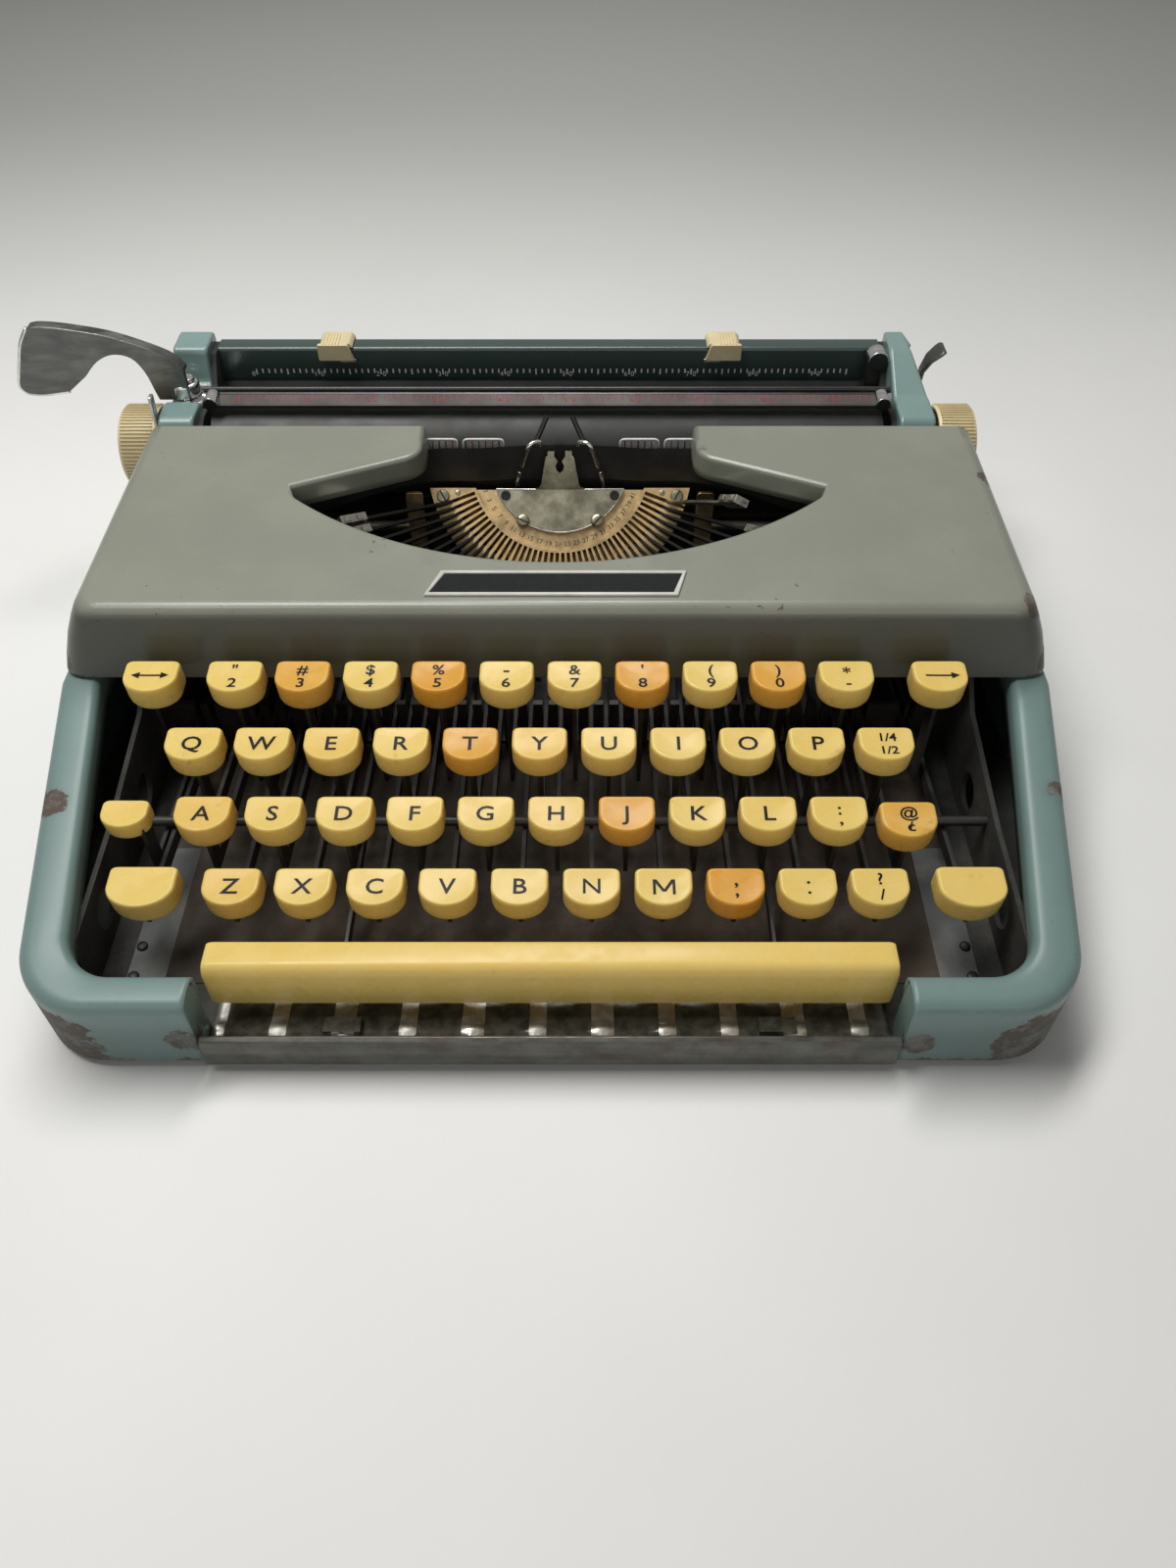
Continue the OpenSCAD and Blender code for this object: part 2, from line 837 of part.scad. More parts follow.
module platen_knobs() {
  color(cream)
    on_carriage()
      for (side = [-1, 1])
        difference() {
          across(side > 0 ? knob_x : -knob_x - knob_w, side > 0 ? knob_x + knob_w : -knob_x)
            translate([platen_y, platen_z])
              circle(r = knob_r, $fn = 60);
          across(side > 0 ? knob_x - 1 : -knob_x - knob_w + 1, side > 0 ? knob_x + knob_w - 1 : -knob_x + 1)
            translate([platen_y, platen_z])
              circle(r = shaft_r);
        }
}

module line_ratchet() {
  color(steel)
    on_carriage()
      across(-platen_w / 2 - 1.6, -platen_w / 2 - 0.05)
        translate([platen_y, platen_z])
          difference() {
            union() {
              circle(r = platen_r - 6);
              for (i = [0:23])
                rotate(i * 15)
                  translate([platen_r - 6.5, -0.9])
                    square([2, 1.8]);
            }
            circle(r = shaft_r);
          }
}

module paper_bail() {
  arm = [bail_y - bail_pivot_y, bail_z - bail_pivot_z];
  reach = norm(arm);
  tilt = atan2(arm[1], arm[0]);
  color(pale)
    on_carriage() {
      translate([-side_x + 0.9, bail_y, bail_z])
        rotate([20, 0, 0])
          translate([0, -3.5, -0.7])
            cube([2 * side_x - 1.8, 7, 1.4]);
      for (side = [-1, 1])
        across(side > 0 ? side_x - 2.2 : -side_x + 0.9, side > 0 ? side_x - 0.9 : -side_x + 2.2)
          difference() {
            translate([bail_pivot_y, bail_pivot_z])
              rotate(tilt)
                union() {
                  translate([0, -2])
                    square([reach, 4]);
                  circle(r = 4);
                }
            translate([bail_pivot_y, bail_pivot_z])
              circle(r = 2 + run_gap);
          }
    }
}

module return_lever() {
  z = platen_z + lever_lift;
  color(pale)
    on_carriage() {
      difference() {
        translate([lever_x, lever_y, z])
          cylinder(r = 5.5, h = 5);
        translate([lever_x, lever_y, z - 1])
          cylinder(r = 2.5 + run_gap, h = 8);
      }
      translate([0, lever_y - 3.4, 0])
        rotate([90, 0, 0])
          linear_extrude(1.6)
            polygon(concat(
              [[lever_x + 3, z], [lever_x + 3, z + 13], [lever_x - 18, z + 20], [lever_x - 46, z + 27.5],
               [lever_x - 53, z + 25], [lever_x - 58, z + 4], [lever_x - 55, z + 1], [lever_x - 38, z + 2]],
              arc(lever_x - 24, z + 5, 12, 160, 20, 8),
              [[lever_x - 9, z]]));
    }
}

module line_space_lever() {
  x = -end_x - end_w - 1.5;
  color(steel)
    on_carriage() {
      across(x, x + 1.2)
        translate([space_set_y, space_set_z])
          difference() {
            union() {
              circle(r = 2.2);
              translate([-1.4, 0])
                square([2.8, 14]);
            }
            circle(r = pin_r + run_gap);
          }
    }
}

module paper_release_lever() {
  x = end_x + end_w + 0.3;
  color(pale)
    on_carriage()
      across(x, x + 1.5)
        translate([release_y, release_z])
          difference() {
            union() {
              circle(r = 4);
              translate([-2, 0])
                square([4, 16]);
              translate([-4, 12])
                square([8, 5]);
            }
            circle(r = pin_r + run_gap);
          }
}

// A stop that clips over the margin rail
module margin_stop(x) {
  on_carriage()
    translate([x, 0, 0])
      difference() {
        translate([-6.5, rail_y - 1.9, rail_z - 4])
          cube([13, 10.5, 6]);
        translate([-8, rail_y - 0.35, rail_z - 8])
          cube([16, 7.7, 8.35]);
      }
}

module margin_stop_left() {
  color(cream)
    margin_stop(stop_left);
}

module margin_stop_right() {
  color(cream)
    margin_stop(stop_right);
}

module spool(x) {
  translate([x, spool_y, spool_z])
    difference() {
      union() {
        cylinder(r = spool_r, h = 1);
        cylinder(r = 6, h = ribbon_w + 2.4);
        translate([0, 0, ribbon_w + 2])
          cylinder(r = spool_r, h = 1);
      }
      translate([0, 0, -1])
        cylinder(r = 3 + run_gap, h = 30);
    }
}

module spool_left() {
  color(dark)
    spool(-spool_x);
}

module spool_right() {
  color(dark)
    spool(spool_x);
}

module mainspring_drum() {
  color(steel)
    translate([drum_x, drum_y, floor_z + 0.3])
      difference() {
        cylinder(r = drum_r, h = 9.5);
        translate([0, 0, -1])
          cylinder(r = drum_pin + run_gap, h = 20);
      }
}

module escapement_wheel() {
  color(steel)
    translate([wheel_x, drum_y, floor_z + 0.3])
      difference() {
        union() {
          for (i = [0:19])
            rotate([0, 0, i * 18])
              translate([wheel_r - 2.5, -0.6, 0])
                cube([2.5, 1.2, 1.5]);
          cylinder(r = wheel_r - 2, h = 1.5);
          cylinder(r = pinion_r, h = 8);
        }
        translate([0, 0, -1])
          cylinder(r = wheel_pin + run_gap, h = 20);
      }
}

// Place of a row of keys, counted from the front
function key_y(row) = -row_y + row * row_depth;
function key_z(row) = row_z + row * row_rise;
function lever_z(y) = pivot_z + (pivot_y - y) * lever_slope;

// Outline of a keytop: straight at the back, round at the front
function key_outline(w, d) = concat(
  arc(0, 0.6, w / 2, 180, 360, 14),
  [[w / 2, d / 2 - 1.4], [w / 2 - 1.4, d / 2], [-w / 2 + 1.4, d / 2], [-w / 2, d / 2 - 1.4]]);

// Upright stem of a key, from its lever into its keytop
module stem(row, grow) {
  translate([-lever_t / 2 - grow, key_y(row) - 2.5 - grow, lever_z(key_y(row)) - 1])
    cube([lever_t + 2 * grow, 5 + 2 * grow, key_z(row) - key_h + 4 + grow - lever_z(key_y(row)) + 1]);
}

// Arm and stem of a key in one row
module key_lever(row) {
  end = key_y(row) - 2.5;
  stem(row, 0);
  across(-lever_t / 2, lever_t / 2)
    difference() {
      union() {
        polygon([
          [end, lever_z(end) - lever_h / 2], [pivot_y, pivot_z - lever_h / 2],
          [pivot_y, pivot_z + lever_h / 2], [end, lever_z(end) + lever_h / 2]
        ]);
        translate([pivot_y, pivot_z])
          circle(r = hub_r);
      }
      translate([pivot_y, pivot_z])
        circle(r = pivot_r + run_gap);
    }
}

// Keytop of a row, with the socket for its stem
module keytop(row, w, d) {
  difference() {
    translate([0, key_y(row), key_z(row)])
      rotate([key_lean, 0, 0])
        translate([0, 0, -key_h])
          linear_extrude(key_h)
            scale([1, d / w])
              polygon(key_outline(w, w));
    stem(row, socket_gap);
  }
}

// Whole key: keytop and lever
module key(x, row, w = key_w, d = key_d) {
  translate([x, 0, 0]) {
    color(cream)
      keytop(row, w, d);
    color(steel)
      key_lever(row);
  }
}

module home_key(i) {
  color(cream)
    key(home_x[i], 1);
}

module number_keys() {
  color(cream)
    for (x = number_x)
      key(x, 3);
}

module upper_keys() {
  color(cream)
    for (x = upper_x)
      key(x, 2);
}

module lower_keys() {
  color(cream)
    for (x = lower_x)
      key(x, 0);
}

// The last key of the home row stands a little low, with its typebar half raised
module key_at() {
  color(cream)
    translate([0, pivot_y, pivot_z])
      rotate([stuck_lift / bar_ratio, 0, 0])
        translate([0, -pivot_y, -pivot_z])
          key(home_x[10], 1);
}

module margin_release_key() {
  color(cream)
    key(release_x, 3, end_key_w);
}

module backspace_key() {
  color(cream)
    key(back_x, 3, end_key_w);
}

module shift_keys() {
  color(cream) {
    difference() {
      key(shift_left_x, 0, shift_key_w, key_d + 1);
      across(shift_left_x - lever_t, shift_left_x + lever_t)
        translate([lock_pivot_y, lever_z(lock_pivot_y)])
          circle(r = lock_pin + socket_gap);
    }
    key(shift_right_x, 0, shift_key_w, key_d + 1);
    across(shift_left_x - lever_t / 2 - 0.3, shift_right_x + lever_t / 2 + 0.3)
      translate([rod_y, pivot_z])
        circle(r = rod_r);
    across(lock_x - lever_t / 2 - 0.3, shift_left_x + lever_t / 2)
      translate([lock_pivot_y, lever_z(lock_pivot_y)])
        circle(r = lock_pin);
    for (x = [shift_left_x, shift_right_x])
      across(x - lever_t / 2, x + lever_t / 2)
        difference() {
          translate([pivot_y, pivot_z - 2.5])
            square([rod_y - pivot_y + 2.5, 5]);
          translate([pivot_y, pivot_z])
            circle(r = hub_r - 0.5);
          translate([rod_y, pivot_z])
            circle(r = rod_r + socket_gap);
        }
  }
}

module shift_lock() {
  color(cream)
    translate([lock_x, 0, 0]) {
      difference() {
        translate([-4.5, key_y(1), key_z(1)])
          rotate([key_lean, 0, 0])
            translate([0, 0, -6])
              linear_extrude(6)
                polygon(key_outline(13, 9));
        translate([-lever_t / 2 - socket_gap, key_y(1) - 2.5 - socket_gap, key_z(1) - 8])
          cube([lever_t + 2 * socket_gap, 5 + 2 * socket_gap, 4 + socket_gap]);
      }
      across(-lever_t / 2, lever_t / 2)
        difference() {
          polygon([
            [key_y(1) - 2.5, key_z(1) - 4], [key_y(1) - 2.5, lever_z(key_y(1))],
            [lock_pivot_y + 3, lever_z(lock_pivot_y) - 2], [lock_pivot_y + 3, lever_z(lock_pivot_y) + 2],
            [key_y(1) + 2.5, lever_z(key_y(1)) + 1.5], [key_y(1) + 2.5, key_z(1) - 4]
          ]);
          translate([lock_pivot_y, lever_z(lock_pivot_y)])
            circle(r = lock_pin + run_gap);
        }
    }
}

// Arm of the space bar, widened by a clearance where the bar is cut for it
module space_arm(x, grow) {
  across(x - space_arm_t / 2 - grow, x + space_arm_t / 2 + grow)
    difference() {
      polygon([
        [space_y - grow, space_top - 11 + grow], [space_y - grow, space_top - 15 - grow],
        [space_rod_y + 3.2, space_top - 15 - grow], [space_rod_y + 3.2, space_rod_z + 3.2],
        [space_rod_y - 3.2, space_rod_z + 3.2], [space_rod_y - 3.2, space_top - 11 + grow]
      ]);
      translate([space_rod_y, space_rod_z])
        circle(r = rod_r + socket_gap);
    }
}

module space_bar() {
  color(cream) {
    difference() {
      translate([-space_w / 2, space_y - space_d / 2, space_top - space_h])
        cube([space_w, space_d, space_h]);
      for (x = space_arms)
        space_arm(x, socket_gap);
    }
    for (x = space_arms)
      space_arm(x, 0);
    across(-frame_x - frame_t, frame_x + frame_t)
      translate([space_rod_y, space_rod_z])
        circle(r = rod_r);
  }
}

lower_shell();
bottom_plate();
rubber_feet();
chassis();
lever_comb();
key_pivot_shaft();
cover_pins();
type_segment();
type_guide();
typebars();
stuck_typebar();
line_scales();
ribbon();
ribbon_vibrator();
carriage_rails();
bell();
segment_screws();
ribbon_cover();
name_plate();
carriage_truck();
carriage_frame();
margin_rail();
paper_table();
feed_roller();
end_covers();
platen();
platen_shaft();
platen_knobs();
line_ratchet();
paper_bail();
return_lever();
line_space_lever();
paper_release_lever();
margin_stop_left();
margin_stop_right();
spool_left();
spool_right();
mainspring_drum();
escapement_wheel();
space_bar();
shift_keys();
shift_lock();
margin_release_key();
backspace_key();
number_keys();
upper_keys();
lower_keys();
key_at();
for (i = [0:len(home_names) - 1])
  home_key(i);
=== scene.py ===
"""Portable typewriter: camera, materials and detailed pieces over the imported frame."""
import math

import bmesh
import bpy
from mathutils import Matrix, Vector


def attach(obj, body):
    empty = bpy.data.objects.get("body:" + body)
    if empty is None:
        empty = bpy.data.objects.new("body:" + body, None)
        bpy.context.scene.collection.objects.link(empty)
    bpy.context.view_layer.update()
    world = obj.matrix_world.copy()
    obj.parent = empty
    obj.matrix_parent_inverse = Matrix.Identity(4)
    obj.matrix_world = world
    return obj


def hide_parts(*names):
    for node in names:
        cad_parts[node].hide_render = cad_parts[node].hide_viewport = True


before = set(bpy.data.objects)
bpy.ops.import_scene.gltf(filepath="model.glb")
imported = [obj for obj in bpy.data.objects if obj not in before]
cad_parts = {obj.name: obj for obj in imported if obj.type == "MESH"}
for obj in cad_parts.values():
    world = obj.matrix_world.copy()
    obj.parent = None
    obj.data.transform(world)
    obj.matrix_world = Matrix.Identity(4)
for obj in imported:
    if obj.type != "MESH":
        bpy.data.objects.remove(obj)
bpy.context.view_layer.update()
scene = bpy.context.scene
MM = 0.001
SIDES = (-1, 1)          # left and right
REST_X = -4.618          # where the carriage stands at rest, mm from the middle
LETTER = 2.309           # width of one typed letter on the scales, mm


# Camera and light, in metres

CAMERA_AT, CAMERA_TILT, LENS, SENSOR = (0.00975, -0.286, 0.285), 42.0, 27.05, 36.0
WORLD_SEEN, WORLD_FILL = 0.34, 0.05     # world level where it is seen or mirrored, and where it only lights


def add_object(name, data):
    made = bpy.data.objects.new(name, data)
    scene.collection.objects.link(made)
    return made


def place_camera():
    data = bpy.data.cameras.new("camera")
    data.sensor_width, data.lens, data.clip_start = SENSOR, LENS, 0.01
    camera = add_object("camera", data)
    camera.location = CAMERA_AT
    camera.rotation_euler = (math.radians(CAMERA_TILT), 0.0, 0.0)
    scene.camera = camera


def area_light(name, place, aim, size, power, colour):
    data = bpy.data.lights.new(name, "AREA")
    data.shape = "RECTANGLE"
    data.size, data.size_y = size
    data.energy, data.color = power, colour
    lamp = add_object(name, data)
    lamp.location = place
    lamp.rotation_euler = (Vector(aim) - Vector(place)).to_track_quat("-Z", "Y").to_euler()


def light_scene():
    world = bpy.data.worlds.new("world")
    world.use_nodes = True
    tree = world.node_tree
    back = tree.nodes["Background"]
    back.inputs[0].default_value = (1.0, 0.995, 0.98, 1)
    ray = tree.nodes.new("ShaderNodeLightPath")
    seen = ray.outputs["Is Camera Ray"]
    for kind in ("Is Glossy Ray", "Is Transmission Ray"):
        most = tree.nodes.new("ShaderNodeMath")
        most.operation = "MAXIMUM"
        tree.links.new(seen, most.inputs[0])
        tree.links.new(ray.outputs[kind], most.inputs[1])
        seen = most.outputs[0]
    level = tree.nodes.new("ShaderNodeMapRange")
    level.inputs["To Min"].default_value = WORLD_FILL
    level.inputs["To Max"].default_value = WORLD_SEEN
    tree.links.new(seen, level.inputs["Value"])
    tree.links.new(level.outputs[0], back.inputs[1])
    scene.world = world
    scene.view_settings.view_transform = "Standard"
    scene.view_settings.look = "None"
    area_light("top", (-0.20, 0.22, 0.92), (-0.02, 0.08, 0.0), (1.0, 0.26), 9.7, (1.0, 0.99, 0.965))
    area_light("front", (0.05, -0.85, 0.40), (0.0, -0.06, 0.03), (1.3, 0.45), 1.7, (1.0, 0.99, 0.97))


# Node materials

class Look:
    """A procedural material, with short names for the nodes it is made of."""

    def __init__(self, name, rough=0.5, metal=0.0, coat=0.0, coat_rough=0.1):
        self.mat = bpy.data.materials.new(name)
        self.mat.use_nodes = True
        self.tree = self.mat.node_tree
        self.tree.nodes.clear()
        self.bsdf = self.node("ShaderNodeBsdfPrincipled")
        self.node("ShaderNodeOutputMaterial", {0: self.bsdf.outputs[0]})
        self.surface({"Roughness": rough, "Metallic": metal, "Coat Weight": coat, "Coat Roughness": coat_rough})
        self.place = self.node("ShaderNodeTexCoord").outputs["Object"]

    def node(self, kind, inputs=None, **settings):
        made = self.tree.nodes.new(kind)
        for key, value in settings.items():
            setattr(made, key, value)
        self.fill(made, inputs or {})
        return made

    def fill(self, node, inputs):
        """Sets a node's inputs by name or number, and links those that are given an output."""
        for key, value in inputs.items():
            socket = node.inputs[key]
            if hasattr(value, "is_output"):
                self.tree.links.new(value, socket)
            else:
                socket.default_value = (*value, 1) if socket.type == "RGBA" else value

    def surface(self, inputs):
        self.fill(self.bsdf, inputs)

    def stretched(self, x, y, z):
        return self.node("ShaderNodeMapping", {"Scale": (x, y, z), "Vector": self.place}).outputs[0]

    def noise(self, scale, detail=4.0, rough=0.55, at=None):
        inputs = {"Scale": scale, "Detail": detail, "Roughness": rough, "Vector": at or self.place}
        return self.node("ShaderNodeTexNoise", inputs).outputs["Fac"]

    def step(self, value, low, high, to_low=0.0, to_high=1.0):
        inputs = dict(enumerate((value, low, high, to_low, to_high)))
        return self.node("ShaderNodeMapRange", inputs, interpolation_type="SMOOTHSTEP").outputs[0]

    def math(self, kind, a, b):
        clamp = kind in ("ADD", "MULTIPLY")
        return self.node("ShaderNodeMath", {0: a, 1: b}, operation=kind, use_clamp=clamp).outputs[0]

    def times(self, a, b):
        return self.math("MULTIPLY", a, b)

    def mix(self, share, a, b):
        return self.node("ShaderNodeMix", {0: share, 6: a, 7: b}, data_type="RGBA").outputs[2]

    def mottled(self, pattern, low, high, a, b, share=None):
        """Colour a, going over to b where a pattern rises from low to high, wholly or by a share."""
        amount = self.step(pattern, low, high)
        return self.mix(self.times(amount, share) if share else amount, a, b)

    def near(self, point, radius):
        """1 at a point given in mm, falling to 0 at a radius."""
        inputs = {0: self.place, 1: [c * MM for c in point]}
        away = self.node("ShaderNodeVectorMath", inputs, operation="DISTANCE").outputs["Value"]
        return self.step(away, radius * MM, radius * 0.25 * MM)

    def axis(self, name):
        return self.node("ShaderNodeSeparateXYZ", {0: self.place}).outputs[name]

    def value(self, name):
        return self.node("ShaderNodeAttribute", attribute_name=name).outputs["Fac"]

    def bump(self, height, strength, depth):
        inputs = {"Strength": strength, "Distance": depth * MM, "Height": height}
        self.surface({"Normal": self.node("ShaderNodeBump", inputs).outputs[0]})


def shade(colour, factor):
    return tuple(min(1.0, c * factor) for c in colour)


RUST, BARE, DUST = (0.075, 0.036, 0.022), (0.17, 0.16, 0.145), (0.30, 0.28, 0.23)


def paint(name, colour, spots=(), specks=0.70, rough=0.32, coat=0.25, painted_low_shade=None):
    """Stoved paint with grime, small chips, and wear to primer and rust at spots and edges, with painted shade low
    down where given.
    """
    k = Look(name, rough=rough, coat=coat, coat_rough=0.18)
    base = k.mottled(k.noise(28, 6), 0.35, 0.7, shade(colour, 0.94), shade(colour, 1.05))
    base = k.mottled(k.noise(9, 9, 0.7), 0.5, 0.75, base, shade(colour, 0.68), 0.35)
    streaks = k.noise(60, 5, 0.6, k.stretched(0.25, 1.0, 1.0))
    base = k.mottled(streaks, 0.58, 0.75, base, shade(colour, 1.22), 0.22)
    fine, patches = k.noise(330, 4, 0.6), k.noise(14, 2)
    chips = k.times(k.step(fine, specks, specks + 0.03), k.step(patches, 0.5, 0.66))
    base = k.mix(chips, base, RUST)
    worn = k.value("wear")
    for point, radius, level in spots:
        worn = k.math("MAXIMUM", worn, k.times(k.near(point, radius), level))
    ragged = k.math("ADD", k.noise(95, 9, 0.72), k.times(k.noise(420, 5, 0.7), 0.35))
    rubbed = k.step(k.times(worn, ragged), 0.36, 0.40)
    bare = k.mottled(k.noise(140, 7, 0.75), 0.38, 0.52, BARE, RUST)
    base = k.mottled(worn, 0.3, 0.8, base, shade(colour, 0.62), 0.35)
    base = k.mix(k.times(rubbed, 0.88), base, bare)
    # painted shade: the colour darkens towards the bottom, below a height and ahead of a depth
    if painted_low_shade:
        low, high, share, before = painted_low_shade
        lower = k.step(k.axis("Z"), high * MM, low * MM, 0.0, share)
        ahead = k.step(k.axis("Y"), before * MM, (before - 4) * MM)
        base = k.mix(k.times(lower, ahead), base, shade(colour, 0.22))
    k.surface({"Base Color": base, "Roughness": k.step(k.math("MAXIMUM", rubbed, chips), 0.0, 1.0, rough, 0.75)})
    k.bump(k.math("SUBTRACT", k.noise(900, 2), k.times(rubbed, 0.8)), 0.18, 0.12)
    return k.mat


def metal(name, colour, rough, grain, stain, stain_colour=RUST):
    """Bare or plated metal with fine rolling marks and stains."""
    k = Look(name, rough=rough, metal=1.0)
    lines = k.noise(420, 4, 0.6, k.stretched(*grain))
    base = k.mottled(lines, 0.35, 0.65, shade(colour, 0.82), shade(colour, 1.08))
    marks = k.step(k.noise(75, 7, 0.72), 0.62 - 0.2 * stain, 0.72)
    k.surface({"Base Color": k.mix(k.times(marks, stain), base, stain_colour),
               "Roughness": k.step(k.noise(130, 5), 0.3, 0.7, rough * 0.7, min(1.0, rough * 1.5)),
               "Metallic": k.step(marks, 0.0, 1.0, 1.0, 1.0 - 0.6 * stain)})
    k.bump(lines, 0.1, 0.05)
    return k.mat


def dull(name, colour, rough, scale, spread, bump, dust=0.0):
    """Painted, rubber or card surface with mottling and a little dust."""
    k = Look(name, rough=rough)
    base = k.mottled(k.noise(scale, 6), 0.35, 0.68, shade(colour, 1 - spread), shade(colour, 1 + spread))
    if dust:
        base = k.mottled(k.noise(45, 9, 0.75), 0.48, 0.72, base, DUST, dust)
    k.surface({"Base Color": base,
               "Roughness": k.step(k.noise(60, 3), 0.3, 0.7, rough * 0.85, min(1.0, rough * 1.15))})
    k.bump(k.noise(scale * 9, 3), bump, 0.1)
    return k.mat


def key_plastic():
    """Glossy cream plastic, more orange where the key's own tone says so, with grime and scuffs."""
    k = Look("key_plastic", rough=0.26, coat=0.03, coat_rough=0.12)
    cream, orange, pale, grime = (0.82, 0.60, 0.175), (0.72, 0.345, 0.040), (0.86, 0.68, 0.30), (0.33, 0.20, 0.06)
    base = k.mix(k.value("tone"), cream, orange)
    base = k.mottled(k.noise(120, 5), 0.4, 0.75, base, pale, 0.25)
    base = k.mottled(k.noise(95, 8, 0.72), 0.60, 0.74, base, grime, 0.5)
    k.surface({"Base Color": base, "Specular IOR Level": 0.22, "Subsurface Weight": 0.35,
               "Subsurface Scale": 1.0, "Subsurface Radius": (0.0045, 0.0030, 0.0012),
               "Roughness": k.step(k.noise(160, 6), 0.4, 0.75, 0.22, 0.42)})
    k.bump(k.noise(500, 3), 0.06, 0.08)
    return k.mat


def cloth_black():
    """Inked ribbon: black weave with a slight sheen."""
    k = Look("inked_ribbon", rough=0.55)
    weave = k.node("ShaderNodeTexWave", {"Scale": 900, "Vector": k.place}, wave_type="BANDS", bands_direction="X")
    base = k.mottled(k.noise(70, 6), 0.35, 0.7, (0.010, 0.010, 0.011), (0.028, 0.027, 0.027))
    k.surface({"Base Color": base, "Sheen Weight": 0.12})
    k.bump(k.math("ADD", weave.outputs["Fac"], k.noise(1500, 2)), 0.25, 0.08)
    return k.mat


def clear_plastic():
    k = Look("clear_plastic", rough=0.08)
    base = k.mottled(k.noise(80, 6), 0.4, 0.75, (0.93, 0.93, 0.92), (0.80, 0.79, 0.76))
    k.surface({"Base Color": base, "Transmission Weight": 0.72, "IOR": 1.46,
               "Roughness": k.step(k.noise(200, 5), 0.45, 0.7, 0.05, 0.3)})
    return k.mat


def ink(name, colour, rough=0.5):
    k = Look(name, rough=rough)
    base = k.mottled(k.noise(600, 3), 0.4, 0.7, shade(colour, 0.85), shade(colour, 1.15))
    k.surface({"Base Color": base, "Specular IOR Level": 0.12})
    return k.mat


# Worn places as (point in mm, radius, level)
SHELL_SPOTS = [((-128, -128, 12), 26, 0.72), ((128, -128, 12), 26, 0.72), ((-138, -113, 10), 22, 0.68),
               ((138, -113, 10), 22, 0.68), ((-94, -131, 14), 13, 0.66), ((95, -131, 12), 11, 0.66),
               ((-140, -70, 36), 12, 0.62), ((141, -66, 36), 10, 0.60)]
COVER_SPOTS = [((141, 45, 64), 12, 0.58), ((-147, -22, 47), 10, 0.62), ((146, -20, 47), 12, 0.66),
               ((34, 2, 67), 14, 0.50), ((-56, 10, 67), 16, 0.50), ((48, 62, 66), 6, 0.55),
               ((141, -18, 65), 11, 0.62), ((-141, -18, 65), 8, 0.60), ((-36, 3, 67), 12, 0.49)]
TEAL, GREY_GREEN = (0.165, 0.252, 0.240), (0.250, 0.260, 0.210)
EVEN = (1, 1, 1)
